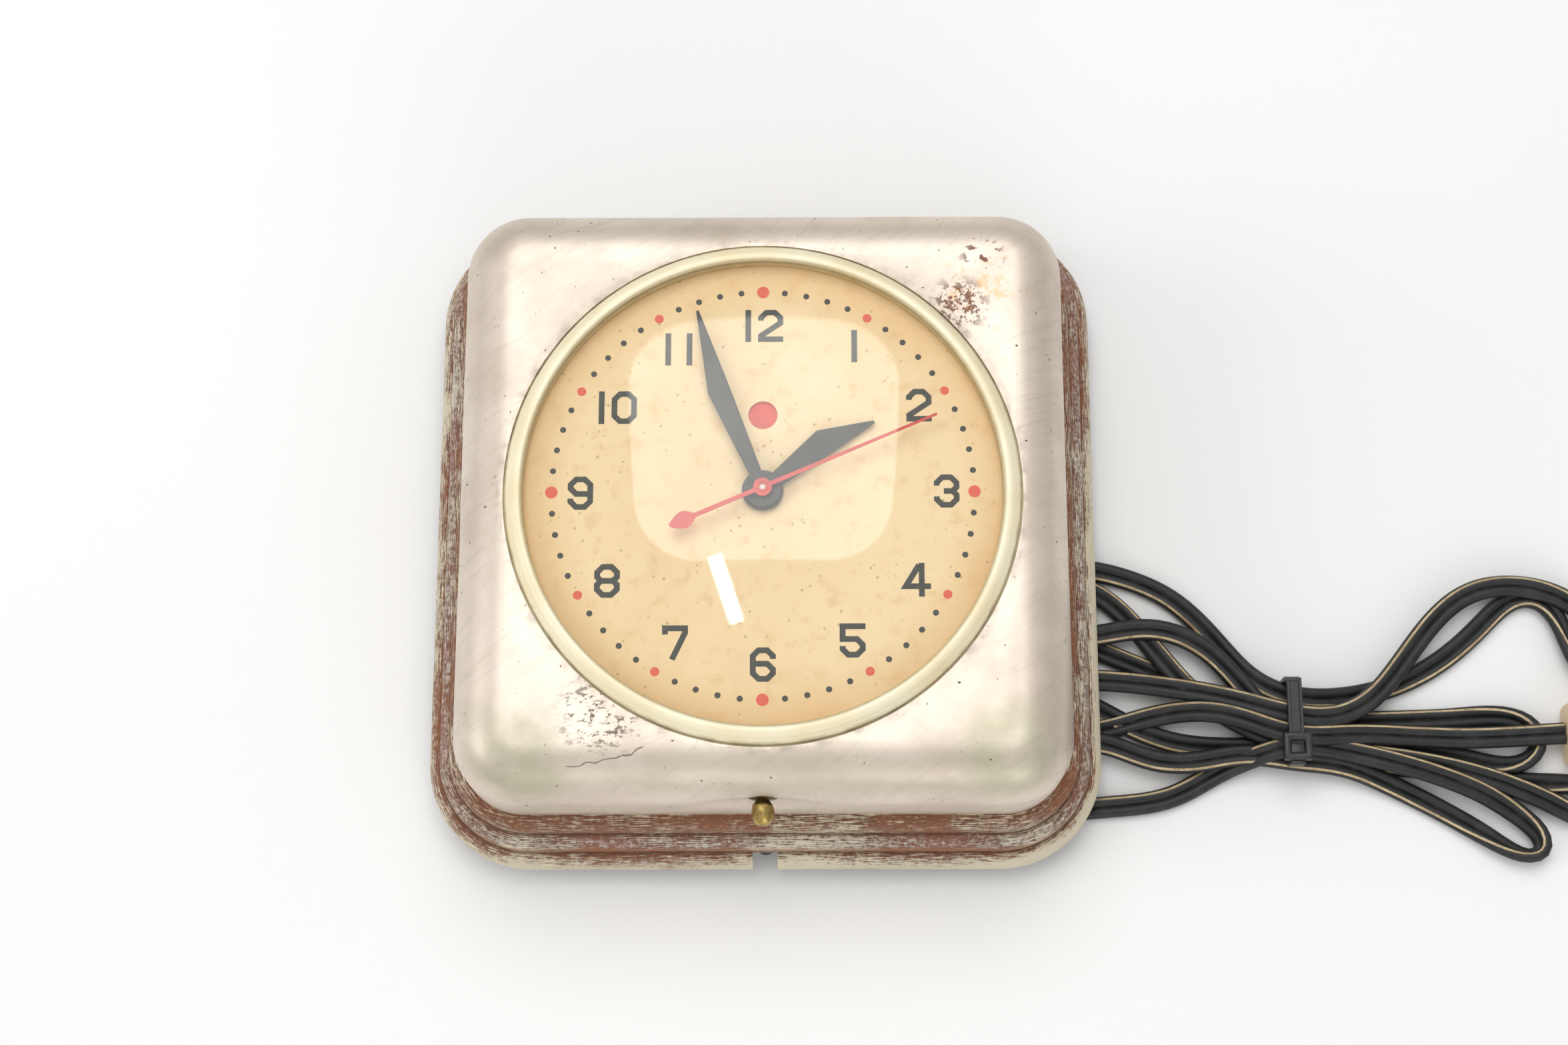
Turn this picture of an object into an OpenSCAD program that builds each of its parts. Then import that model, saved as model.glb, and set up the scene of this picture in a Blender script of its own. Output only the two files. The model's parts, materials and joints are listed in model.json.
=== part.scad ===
/* [Case] */
// Radius of the round opening in the front cover
opening_r = 62.6; // [50:0.1:80]
// Width of the face left between the opening and the side of the cover
face_border = 11.65; // [10:0.05:30]
// Corner radius of the cover seen from the front
cover_corner_r = 15.8; // [13.5:0.1:24]
// Radius of the soft edge round the face
cover_fillet = 13; // [5:0.5:13]
// Thickness of the pressed sheet
sheet = 0.9; // [0.6:0.1:1.2]
// Gap between the cover and the top step of the pan
cover_margin = 0.05; // [0:0.05:1]
// Width of one rounded step of the pan
step_w = 3.4; // [2.4:0.1:5]
// Height of one rounded step of the pan
step_h = 8; // [6:0.1:10]
// Height of the pan rim above the surface that the clock lies on
rim_gap = 7; // [6.8:0.1:12]
// Width of the notch in the bottom of the rim
notch_w = 6.2; // [3:0.1:10]
// Radius of the round hole in the pan behind the movement
pan_hole_r = 37; // [36.5:0.1:38]

/* [Bezel, crystal and dial] */
// Gap between the cover opening and the bezel
bezel_gap = 0.6; // [0.2:0.1:1]
// Width of the visible bezel ring
bezel_w = 4.25; // [3:0.05:6]
// Height of the bezel above the underside of the face
bezel_h = 3.9; // [3.7:0.1:5]
// Thickness of the crystal
crystal_t = 1.6; // [1:0.1:1.8]
// Rise of the crystal dome
crystal_rise = 7.3; // [6.8:0.1:12]
// Thickness of the dial sheet
dial_t = 0.6; // [0.4:0.1:0.6]
// Radius of the round indicator hole in the dial
indicator_hole_r = 3.55; // [2.5:0.05:3.8]
// Distance of the indicator hole from the centre
indicator_y = 19.4; // [17:0.1:21]

/* [Hands] */
// Length of the hour hand
hour_len = 32; // [24:0.5:40]
// Length of the minute hand
minute_len = 48; // [38:0.5:50]
// Length of the second hand
second_len = 45.8; // [36:0.1:48]
// Length of the tail of the second hand
second_tail = 24.3; // [18:0.1:30]
// Hour hand's angle, clockwise from 12
hour_angle = 57.5; // [0:0.5:360]
// Minute hand's angle, clockwise from 12
minute_angle = 340.5; // [0:0.5:360]
// Second hand's angle, clockwise from 12
second_angle = 66.6; // [0:0.1:360]

/* [Movement] */
// Outer radius of the round back cover
back_cover_r = 45; // [44.5:0.1:48]
// Half the width of the movement's back plate
back_plate_half = 33; // [32:0.5:35]
// Half the width of the movement's front plate
front_plate_half = 31; // [30.5:0.5:33]
// Thickness of the movement plates
plate_t = 1.2; // [1:0.1:1.5]
// Gap between the two movement plates, which sets the depth of the cover
plate_gap = 17.8; // [17.8:0.1:24]
// Space between the front plate and the dial for the motion work
motion_space = 3.9; // [3.9:0.1:6]
// Height of the washers under the movement
washer_h = 1; // [0.8:0.1:2]
// Thickness of a wheel
wheel_t = 1; // [0.6:0.1:1]
// Radius of the motor's round can
can_r = 15; // [12:0.1:15]
// Distance of the motor's axis from the centre
motor_dist = 15; // [14.8:0.1:15.5]
// Distance of the intermediate arbor from the centre
train_dist = 14; // [13.8:0.1:14.2]
// Distance of the motion work stud from the centre
motion_dist = 9; // [8.6:0.1:9.4]
// Radius of a thin arbor
arbor_r = 0.7; // [0.6:0.02:0.72]
// Running clearance on the radius of a shaft in its hole
run_fit = 0.05; // [0.02:0.01:0.08]
// Thread radius of the small screws
screw_r = 1.2; // [0.9:0.05:1.4]
// Radius of the big end of the wall hanging keyhole
keyhole_r = 4; // [3:0.1:4.5]

/* [Setting knob] */
// Radius of the knob
knob_r = 3; // [2:0.1:3.6]
// Length of the knob
knob_len = 7; // [5:0.1:9]
// Radius of the hole for the knob in the cover
knob_hole_r = 3.8; // [3.7:0.1:4.5]

/* [Cord] */
// Width of the flat twin cord
cord_w = 5.6; // [5:0.1:6]
// Width of the plug body
plug_w = 17; // [15:0.5:18]
// Length of the plug body
plug_len = 22; // [18:0.5:26]
// Height of the plug body
plug_h = 12; // [10:0.5:14]
// Distance between the blades of the plug, centre to centre
blade_pitch = 12.7; // [12:0.1:13]

/* [Hidden] */
steps = 3;
arc_n = 6;
corner_c = opening_r + face_border - cover_corner_r;
cover_half = opening_r + face_border;
step_run = steps * step_w;
pan_corner_r = cover_corner_r + cover_margin + step_run;
top_u = cover_corner_r + cover_margin;
pan_half = corner_c + pan_corner_r;
seat_z = rim_gap + steps * step_h;
flange_t = 0.5;
flange_gap = 0.4;
cover_h = washer_h + 2 * plate_t + plate_gap + motion_space + dial_t + flange_t + flange_gap + sheet;
floor_z = seat_z - sheet;
face_z = seat_z + cover_h;
face_in_z = face_z - sheet;
seat_gap = 0.3;

bezel_r = opening_r - bezel_gap;
bezel_in_r = bezel_r - bezel_w;
crystal_r = bezel_in_r + 0.7;
flange_r = opening_r + 1;
flange_z = face_in_z - flange_gap - flange_t;
dial_r = opening_r + 0.9;
dial_z = flange_z - dial_t;
bezel_top = face_in_z + bezel_h;
lip_t = 0.4;
dome_r = (crystal_r * crystal_r + crystal_rise * crystal_rise) / (2 * crystal_rise);
dome_edge_z = bezel_top - lip_t - 0.2;
dome_z = dome_edge_z + crystal_rise - dome_r;
groove_low = dome_z + sqrt(pow(dome_r - crystal_t, 2) - pow(crystal_r, 2)) - 0.05;

back_plate_z = seat_z + washer_h;
gear_z = back_plate_z + plate_t;
front_plate_z = gear_z + plate_gap;
motion_z = front_plate_z + plate_t;
motor_z = 9;
core_z = 16;
core_h = 8;
clip_foot = 0.8;

// Teeth of the gears and the distances that set their modules
rotor_teeth = 15;
seconds_teeth = 54;
small_teeth = 8;
intermediate_teeth = 60;
minute_teeth = 64;
cannon_teeth = 10;
motion_teeth = 30;
hour_teeth = 32;
crown_teeth = 36;
wheel_add = 1.1;
wheel_thick = 1.5;
leaf_add = 0.55;
leaf_thick = 1.15;
root_gap = 0.25;
flank_n = 4;
tip_n = 6;
train_at = 210;
motion_at = -30;
motor_at = 90;

tube_r = 1.5;
tube_bore = arbor_r + run_fit;
hour_bore = tube_r + run_fit;
hour_tube_r = 2.3;
seconds_z = gear_z + 1;
train_z = seconds_z + 2.6;
minute_z = train_z + 2.6;
clutch_z = minute_z + wheel_t;
crown_z = clutch_z + 1.2;
crown_disc = 1.6;
crown_r = 9.35;
crown_in = 8.2;
crown_out = 10.5;
crown_m = 2 * crown_r / crown_teeth;
set_r = crown_m * small_teeth / 2;
crown_pitch_z = crown_z + crown_disc + 1.75;
set_z = crown_pitch_z + set_r;
set_shaft_r = 1;
knob_inset = 1.8;
knob_start = cover_half - knob_inset;
cannon_z = motion_z + 0.5;
motion_pinion_z = cannon_z + wheel_t;
hour_wheel_z = motion_pinion_z + 0.5;
hand_t = 0.5;
hour_hand_z = dial_z + dial_t + 1.1;
minute_hand_z = hour_hand_z + 1.4;
second_hand_z = minute_hand_z + 1.8;
hour_hub_r = 5;
minute_hub_r = 4.4;
second_hub_r = 2.2;

flag_y = 28;
flag_z = dial_z - 0.8;
flag_t = 0.4;
flag_patch_r = 4.2;
flag_stud_r = 1;
flag_turn = 60;

mount_at = 28.6;
core_screw_x = 17;
core_screw_ys = [26.5, -24];
pillar_x = 27.5;
pillar_ys = [14, -16];
pillar_r = 2.5;
head_r = 2.2;
head_t = 1.6;
screw_fit = 0.1;
cup_flange_r = back_cover_r + 4.5;
cup_screw_at = (back_cover_r + 2.2) / sqrt(2);
bracket_y = 40;
bracket_w = 10;
bracket_len = 10;
bracket_x = cover_half - sheet;
bracket_t = 1.2;
hanger_y = pan_half - 22.5;
hanger_w = 26;
hanger_h = 18;
hanger_t = 1.5;
keyhole_slot = 2;
rivet_x = 10;
bumper_y = -(corner_c + pan_corner_r - 2 * step_w - 0.1);
bumper_r = 2.4;
bumper_h = 8;

cord_r = cord_w / 2;
cord_sides = 8;
grommet_at = -13;
grommet_z = 12;
relief_len = 8;
relief_r = 3.6;
cord_tube_r = 2.7;
// The lead's way from the strain relief down into the hank
lead_points = [
    [51.5, -11.9, 12], [54.5, -12.6, 11.6], [58, -13.3, 9.8], [61.5, -14.2, 7.2],
    [65, -15, 4.8], [68.3, -15.7, 3.4]
];
hank_h = 6.4;
hank_hump_h = 9.8;
tie_x = 134;
tie_y = -47;
tie_w = 3.7;
tie_t = 1.1;
tie_half = 11.4;
tie_head = 7.4;
plug_x = 203;
plug_y = -50;
blade_w = 6.35;
blade_t = 1.5;
blade_len = 15.9;

// A quarter arc from angle a to angle b about a centre
function arc(c, r, a, b) = [for (i = [0:arc_n]) let (t = a + (b - a) * i / arc_n)
    [c[0] + r * cos(t), c[1] + r * sin(t)]];

// Outline of a plain square with round corners
module round_square(half, r) {
    union() {
        square([2 * half, 2 * (half - r)], center = true);
        square([2 * (half - r), 2 * half], center = true);
        for (x = [-1, 1], y = [-1, 1])
            translate([x * (half - r), y * (half - r)]) circle(r, $fn = 64);
    }
}

// A flat plate with round corners
module round_plate(half, r, z, t) {
    translate([0, 0, z]) linear_extrude(t) round_square(half, r);
}

// Sweeps a profile of (distance outwards, height) round a square with round corners
module sweep_square(c, profile) {
    for (k = [0:3]) rotate(90 * k) {
        translate([c, c]) rotate_extrude(angle = 90, $fn = 96) polygon(profile);
        translate([c, c]) rotate([90, 0, 0]) linear_extrude(2 * c) polygon(profile);
    }
}

// Repeats its children at the four signs of a point
module at_corners(x, y) {
    for (sx = [-1, 1], sy = [-1, 1]) translate([sx * x, sy * y]) children();
}

module rod(r, z, h) {
    translate([0, 0, z]) cylinder(r = r, h = h, $fn = 48);
}

module ring(r, bore, z, h) {
    difference() {
        rod(r, z, h);
        rod(bore, z - 1, h + 2);
    }
}

// Round-headed screw pointing up, its head below z
module screw(z, length) {
    rod(head_r, z - head_t, head_t);
    rod(screw_r, z, length);
}

// Cycloidal gears: a wheel has rounded teeth on radial flanks, and a pinion has
// radial leaves with round tips that work against them
function gear_r(m, n) = m * n / 2;
function mesh_m(dist, n1, n2) = 2 * dist / (n1 + n2);
function roll_end(r, g, h) = g / r * acos((pow(r + g, 2) + g * g - pow(r + h, 2)) / (2 * g * (r + g)));
function roll_x(r, g, t) = (r + g) * cos(t) - g * cos((r + g) / g * t);
function roll_y(r, g, t) = (r + g) * sin(t) - g * sin((r + g) / g * t);
function polar(r, a) = [r * cos(a), r * sin(a)];
function wheel_tooth(m, n, mate) = let (
    r = gear_r(m, n), g = gear_r(m, mate) / 2, half = wheel_thick / n * 180 / PI,
    root = r - (leaf_add + root_gap) * m, end = roll_end(r, g, wheel_add * m),
    flank = [for (i = [0:flank_n]) let (t = end * i / flank_n, x = roll_x(r, g, t), y = roll_y(r, g, t))
        [norm([x, y]), half - atan2(y, x)]])
    concat([[root, -half]], [for (p = flank) [p[0], -p[1]]],
        [for (i = [flank_n:-1:0]) flank[i]], [[root, half]]);
function pinion_leaf(m, n) = let (
    r = gear_r(m, n), half = leaf_thick / n * 180 / PI, root = r - (wheel_add + root_gap) * m)
    concat([[root, -half]],
        [for (i = [0:tip_n]) let (t = -90 + 180 * i / tip_n)
            [r + leaf_add * m * cos(t), half * sin(t)]],
        [[root, half]]);
// Turns one tooth's (radius, angle) points into the whole outline, a tooth at angle `at`
function toothed(tooth, n, at) = [for (k = [0:n - 1], p = tooth) polar(p[0], p[1] + at + 360 * k / n)];

module wheel(m, n, mate, at, bore, z, t) {
    difference() {
        translate([0, 0, z]) linear_extrude(t) polygon(toothed(wheel_tooth(m, n, mate), n, at));
        rod(bore, z - 1, t + 2);
    }
}

// A pinion whose gap between two leaves points along `at`
module pinion(m, n, at, z, t) {
    translate([0, 0, z]) linear_extrude(t) polygon(toothed(pinion_leaf(m, n), n, at + 180 / n));
}

// Step k's outer and inner outline, from the rim upwards
function step_out(k) = let (u = pan_corner_r - k * step_w, z = rim_gap + k * step_h)
    concat([[u, z]], arc([u - step_w, z + step_h - step_w], step_w, 0, 90));
function step_in(k) = let (u = pan_corner_r - k * step_w, z = rim_gap + k * step_h, r = step_w - sheet)
    concat([[u - sheet, z - (k > 0 ? sheet : 0)]], arc([u - step_w, z + step_h - step_w], r, 0, 90));
function flip(list) = [for (i = [len(list) - 1:-1:0]) list[i]];

module back_pan() {
    outer = [for (k = [0:steps - 1], p = step_out(k)) p];
    inner = [for (k = [0:steps - 1], p = step_in(k)) p];
    land = top_u - 2;
    color("saddlebrown") difference() {
        union() {
            sweep_square(corner_c, concat(outer, [[land, seat_z], [land, floor_z]], flip(inner)));
            round_plate(corner_c + land, land, floor_z, sheet);
        }
        rod(pan_hole_r, floor_z - 1, 3);
        at_corners(mount_at, mount_at) rod(screw_r + screw_fit, floor_z - 1, 3);
        at_corners(cup_screw_at, cup_screw_at) rod(screw_r + screw_fit, floor_z - 1, 3);
        at_corners(bracket_x - 6, bracket_y) rod(screw_r + screw_fit, floor_z - 1, 3);
        translate([0, hanger_y, floor_z - 1]) {
            cylinder(r = keyhole_r + 1.5, h = 3, $fn = 48);
            translate([-keyhole_r, 0, 0]) cube([2 * keyhole_r, 8, 3]);
        }
        translate([-rivet_x, hanger_y, 0]) rod(screw_r, floor_z - 1, 3);
        translate([rivet_x, hanger_y, 0]) rod(screw_r, floor_z - 1, 3);
        translate([-notch_w / 2, -pan_half - 1, rim_gap - 1])
            cube([notch_w, step_w + 1 - 0.05, step_h + 1]);
    }
}

module front_cover() {
    c = cover_corner_r - cover_fillet;
    arc_z = face_z - cover_fillet;
    profile = concat([[cover_corner_r, seat_z]], arc([c, arc_z], cover_fillet, 0, 90),
        flip(arc([c, arc_z], cover_fillet - sheet, 0, 90)), [[cover_corner_r - sheet, seat_z]]);
    color("lightgray") difference() {
        union() {
            sweep_square(corner_c, profile);
            round_plate(corner_c + c, c, face_in_z, sheet);
        }
        translate([0, 0, arc_z]) cylinder(r = opening_r, h = 2 * cover_fillet, $fn = 128);
        translate([0, -cover_half + 3, set_z]) rotate([90, 0, 0]) cylinder(r = knob_hole_r, h = 6, $fn = 48);
    }
}

module bezel_ring() {
    step = 0.9;
    color("ivory") rotate_extrude($fn = 128) polygon([
        [bezel_in_r, flange_z], [flange_r, flange_z], [flange_r, flange_z + flange_t],
        [bezel_r, flange_z + flange_t], [bezel_r, face_in_z + 1.2],
        [bezel_r - 0.5, face_in_z + 1.9], [bezel_r - 1.5, bezel_top - 1.1],
        [bezel_in_r + 1.2, bezel_top - 0.2], [bezel_in_r + 0.6, bezel_top], [bezel_in_r, bezel_top - 0.2],
        [bezel_in_r, bezel_top - lip_t], [crystal_r, bezel_top - lip_t], [crystal_r, groove_low],
        [bezel_in_r, groove_low], [bezel_in_r, groove_low - step]
    ]);
}

module crystal() {
    color("lightcyan", 0.35) intersection() {
        translate([0, 0, dome_z]) difference() {
            sphere(r = dome_r, $fn = 200);
            sphere(r = dome_r - crystal_t, $fn = 200);
        }
        translate([0, 0, groove_low]) cylinder(r = crystal_r, h = 2 * crystal_rise, $fn = 128);
    }
}

module dial() {
    color("antiquewhite") difference() {
        translate([0, 0, dial_z]) cylinder(r = dial_r, h = dial_t, $fn = 128);
        rod(hour_tube_r + 0.9, dial_z - 1, dial_t + 2);
        translate([0, indicator_y, 0]) rod(indicator_hole_r, dial_z - 1, dial_t + 2);
    }
}

module dial_clips() {
    inner = opening_r - 2;
    stand = flange_r + seat_gap;
    color("gray") for (a = [45:90:315]) rotate(a) {
        translate([inner, -4, dial_z - clip_foot]) cube([stand + 5 - inner, 8, clip_foot]);
        translate([stand, -4, dial_z - clip_foot]) cube([5, 8, face_in_z - dial_z + clip_foot]);
    }
}

module cover_brackets() {
    color("darkgray") for (sx = [-1, 1], y = [-bracket_y, bracket_y]) scale([sx, 1, 1])
        translate([bracket_x, y, seat_z]) difference() {
            union() {
                translate([-bracket_len, -bracket_w / 2, 0]) cube([bracket_len, bracket_w, bracket_t]);
                translate([-bracket_t, -bracket_w / 2, 0]) cube([bracket_t, bracket_w, 8]);
            }
            translate([-6, 0, 0]) rod(screw_r + screw_fit, -1, 4);
        }
}

module case_screws() {
    color("silver") at_corners(bracket_x - 6, bracket_y) screw(floor_z, sheet + bracket_t + 1);
}

module back_cover() {
    color("dimgray") difference() {
        union() {
            rod(back_cover_r, 0, floor_z);
            rod(cup_flange_r, floor_z - sheet, sheet);
        }
        rod(back_cover_r - sheet, sheet, floor_z);
        at_corners(cup_screw_at, cup_screw_at) rod(screw_r + screw_fit, floor_z - 2, 3);
        rotate(grommet_at) translate([back_cover_r - 4, 0, grommet_z]) rotate([0, 90, 0])
            cylinder(r = relief_r, h = 8, $fn = 48);
    }
}

module back_cover_screws() {
    color("silver") at_corners(cup_screw_at, cup_screw_at) screw(floor_z - sheet, 2 * sheet + 0.8);
}

module hanger_plate() {
    color("silver") translate([0, hanger_y, floor_z - hanger_t]) difference() {
        translate([-hanger_w / 2, -hanger_h / 2 + 2, 0]) cube([hanger_w, hanger_h, hanger_t]);
        rod(keyhole_r, -1, 4);
        translate([-keyhole_slot, 0, -1]) cube([2 * keyhole_slot, keyhole_r + 4, 4]);
        translate([-rivet_x, 0, 0]) rod(screw_r, -1, 4);
        translate([rivet_x, 0, 0]) rod(screw_r, -1, 4);
    }
}

module hanger_rivets() {
    color("silver") for (x = [-rivet_x, rivet_x]) translate([x, hanger_y, 0]) {
        rod(screw_r, floor_z - hanger_t, hanger_t + sheet);
        rod(head_r, floor_z - hanger_t - 0.8, 0.8);
        rod(head_r, seat_z, 0.6);
    }
}

module wall_bumper() {
    stem_top = rim_gap + 2 * step_h - sheet - 0.5;
    color("black") translate([0, bumper_y, 0]) {
        rod(bumper_r, 0, bumper_h);
        rod(bumper_r / 2, bumper_h, stem_top - bumper_h);
    }
}

module cord_grommet() {
    color("black") rotate(grommet_at) translate([0, 0, grommet_z]) rotate([0, 90, 0]) {
        rod(relief_r, back_cover_r - 1.2, 1.2);
        rod(relief_r + 1.4, back_cover_r - 2.8, 1.6);
        translate([0, 0, back_cover_r]) cylinder(r1 = relief_r, r2 = cord_tube_r + 0.2, h = relief_len, $fn = 48);
    }
}

module movement_back_plate() {
    color("goldenrod") difference() {
        round_plate(back_plate_half, 6, back_plate_z, plate_t);
        rod(arbor_r + run_fit, back_plate_z - 1, 3);
        rotate(train_at) translate([train_dist, 0]) rod(arbor_r + run_fit, back_plate_z - 1, 3);
        rotate(motor_at) translate([motor_dist, 0]) rod(2.5, back_plate_z - 1, 3);
        at_corners(mount_at, mount_at) rod(screw_r, back_plate_z - 1, 3);
        for (sx = [-1, 1], y = core_screw_ys) translate([sx * core_screw_x, y]) rod(screw_r, back_plate_z - 1, 3);
        for (sx = [-1, 1], y = pillar_ys) translate([sx * pillar_x, y]) rod(screw_r, back_plate_z - 1, 3);
    }
}

module movement_front_plate() {
    color("goldenrod") difference() {
        round_plate(front_plate_half, 5, front_plate_z, plate_t);
        rod(tube_r + run_fit, front_plate_z - 1, 3);
        rotate(train_at) translate([train_dist, 0]) rod(arbor_r + run_fit, front_plate_z - 1, 3);
        rotate(motion_at) translate([motion_dist, 0]) rod(arbor_r, front_plate_z - 1, 3);
        translate([0, flag_y]) rod(flag_stud_r, front_plate_z - 1, 3);
        for (sx = [-1, 1], y = pillar_ys) translate([sx * pillar_x, y]) rod(screw_r, front_plate_z - 1, 3);
    }
}

module plate_pillars() {
    color("goldenrod") for (sx = [-1, 1], y = pillar_ys) translate([sx * pillar_x, y]) {
        rod(pillar_r, gear_z, plate_gap);
        rod(screw_r, back_plate_z, plate_t);
        rod(screw_r, front_plate_z, plate_t + 2.2);
    }
}

module pillar_nuts() {
    color("silver") for (sx = [-1, 1], y = pillar_ys) translate([sx * pillar_x, y, motion_z]) difference() {
        cylinder(r = 2.6, h = 1.8, $fn = 6);
        rod(screw_r, -1, 4);
    }
}

module movement_washers() {
    color("silver") at_corners(mount_at, mount_at) ring(3, screw_r + screw_fit, seat_z, back_plate_z - seat_z);
}

module movement_screws() {
    color("silver") at_corners(mount_at, mount_at) screw(floor_z, back_plate_z + plate_t + 0.8 - floor_z);
}

module field_core() {
    color("slategray") translate([0, 0, core_z]) difference() {
        linear_extrude(core_h) difference() {
            translate([-20.5, -28]) square([41, 59]);
            translate([-14.6, -20]) square([29.2, 17.5]);
            translate([0, motor_dist]) circle(can_r + 0.2, $fn = 96);
        }
        for (sx = [-1, 1], y = core_screw_ys) translate([sx * core_screw_x, y]) rod(screw_r + screw_fit, -1, core_h + 2);
    }
}

module coil_bobbin() {
    color("wheat") translate([0, -24, core_z + core_h / 2]) difference() {
        union() {
            cube([28.6, 10.4, core_h + 2.4], center = true);
            for (x = [-13.7, 13.7]) translate([x, 0, 0]) cube([1.2, 18, 18], center = true);
        }
        cube([40, 8, core_h], center = true);
    }
}

module coil_winding() {
    color("peru") translate([0, -24, core_z + core_h / 2]) difference() {
        cube([26.2, 16.8, 16.8], center = true);
        cube([40, 10.4, core_h + 2.4], center = true);
    }
}

module shading_rings() {
    t = 0.7;
    color("chocolate") for (sx = [-1, 1]) scale([sx, 1, 1]) translate([16.4, 6, core_z]) {
        translate([0, 0, core_h]) cube([4.1 + t, 3, t]);
        translate([0, 0, -t]) cube([4.1 + t, 3, t]);
        translate([4.1, 0, -t]) cube([t, 3, core_h + 2 * t]);
    }
}

module core_spacers() {
    z = core_z + core_h;
    color("silver") for (sx = [-1, 1], y = core_screw_ys) translate([sx * core_screw_x, y])
        ring(2.4, screw_r + screw_fit, z, back_plate_z - z);
}

module core_screws() {
    color("silver") for (sx = [-1, 1], y = core_screw_ys) translate([sx * core_screw_x, y])
        screw(core_z, back_plate_z + plate_t - core_z);
}

module rotor_can() {
    color("silver") translate([0, motor_dist]) difference() {
        union() {
            rod(can_r, motor_z, back_plate_z - motor_z);
            rod(2.4, back_plate_z, plate_t + 0.4);
        }
        rod(0.5 + run_fit, back_plate_z - 4, 6);
    }
}

module can_clamp() {
    drop = core_z - motor_z;
    color("silver") translate([0, motor_dist]) {
        translate([-19.2, -3, motor_z - 0.8]) cube([38.4, 6, 0.8]);
        for (x = [-19.2, 18]) translate([x, -3, motor_z - 0.8]) cube([1.2, 6, drop + 0.8]);
    }
}

module rotor_pinion() {
    m = mesh_m(motor_dist, rotor_teeth, seconds_teeth);
    color("gold") translate([0, motor_dist]) {
        pinion(m, rotor_teeth, motor_at + 180, seconds_z - 0.3, wheel_t + 0.6);
        rod(0.5, back_plate_z - 3.5, seconds_z - back_plate_z + 3.5);
    }
}

module seconds_arbor() {
    m = mesh_m(train_dist, small_teeth, intermediate_teeth);
    color("silver") {
        rod(arbor_r, back_plate_z + 0.2, second_hand_z + hand_t - back_plate_z - 0.2);
        pinion(m, small_teeth, train_at, train_z - 0.6, wheel_t + 1.2);
    }
}

module seconds_wheel() {
    m = mesh_m(motor_dist, rotor_teeth, seconds_teeth);
    color("gold") wheel(m, seconds_teeth, rotor_teeth, motor_at, arbor_r, seconds_z, wheel_t);
}

module second_hand() {
    neck = 0.45;
    tip = 0.3;
    drop_x = 2.1;
    color("crimson") rotate(-second_angle) translate([0, 0, second_hand_z]) linear_extrude(hand_t) difference() {
        union() {
            polygon([[-neck, 0], [neck, 0], [tip, second_len], [-tip, second_len]]);
            polygon([[-0.6, -second_tail + 5], [0.6, -second_tail + 5], [neck, 0], [-neck, 0]]);
            circle(second_hub_r, $fn = 48);
            translate([0, -second_tail + drop_x]) circle(drop_x, $fn = 48);
            polygon([[-drop_x * 0.87, -second_tail + 3.1], [drop_x * 0.87, -second_tail + 3.1],
                [0.6, -second_tail + 7.5], [-0.6, -second_tail + 7.5]]);
        }
        circle(arbor_r, $fn = 48);
    }
}

module intermediate_arbor() {
    m = mesh_m(train_dist, small_teeth, minute_teeth);
    color("silver") rotate(train_at) translate([train_dist, 0]) {
        rod(arbor_r, back_plate_z + 0.1, front_plate_z + plate_t - back_plate_z - 0.2);
        pinion(m, small_teeth, 180, minute_z - 0.5, wheel_t + 1);
    }
}

module intermediate_wheel() {
    m = mesh_m(train_dist, small_teeth, intermediate_teeth);
    color("gold") rotate(train_at) translate([train_dist, 0])
        wheel(m, intermediate_teeth, small_teeth, 180, arbor_r, train_z, wheel_t);
}

module minute_tube() {
    color("silver") ring(tube_r, tube_bore, minute_z - 0.5, minute_hand_z + hand_t - minute_z + 0.5);
}

module minute_gear() {
    m = mesh_m(train_dist, small_teeth, minute_teeth);
    color("gold") wheel(m, minute_teeth, small_teeth, train_at, tube_r, minute_z, wheel_t);
}

// Three-legged friction spring between the gear and the crown wheel
module clutch_spring() {
    h = crown_z - clutch_z;
    color("silver") {
        ring(3.2, tube_r, clutch_z, h);
        for (a = [0:120:240]) rotate(a) translate([2.5, -0.9, clutch_z]) cube([4.5, 1.8, 0.4]);
    }
}

module crown_tooth() {
    base_z = crown_z + crown_disc - 0.2;
    up = crown_pitch_z - base_z;
    translate([0, -crown_in, base_z]) rotate([90, 0, 0]) linear_extrude(crown_out - crown_in)
        polygon([[-0.34, 0], [0.34, 0], [0.28, up], [0.12, up + 0.5], [-0.12, up + 0.5], [-0.28, up]]);
}

module crown_wheel() {
    color("gold") {
        ring(crown_out, tube_r, crown_z, crown_disc);
        for (k = [0:crown_teeth - 1]) rotate(360 * k / crown_teeth) crown_tooth();
    }
}

module cannon_pinion() {
    m = mesh_m(motion_dist, cannon_teeth, motion_teeth);
    color("gold") difference() {
        pinion(m, cannon_teeth, motion_at, cannon_z, wheel_t + 0.2);
        rod(tube_r, cannon_z - 1, 4);
    }
}

// A tapered blade whose one edge is straight and whose other edge swells to a corner
module blade(length, root, bulge, bulge_at, tip) {
    polygon([[-root, 0], [root, 0], [root * 0.75, bulge_at], [tip, length], [-tip, length], [-bulge, bulge_at]]);
}

module minute_hand() {
    color([0.12, 0.12, 0.12]) rotate(-minute_angle) translate([0, 0, minute_hand_z]) linear_extrude(hand_t)
        difference() {
            union() {
                circle(minute_hub_r, $fn = 64);
                blade(minute_len, 1.3, 4.5, 27, 0.35);
            }
            circle(tube_r, $fn = 48);
        }
}

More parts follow.
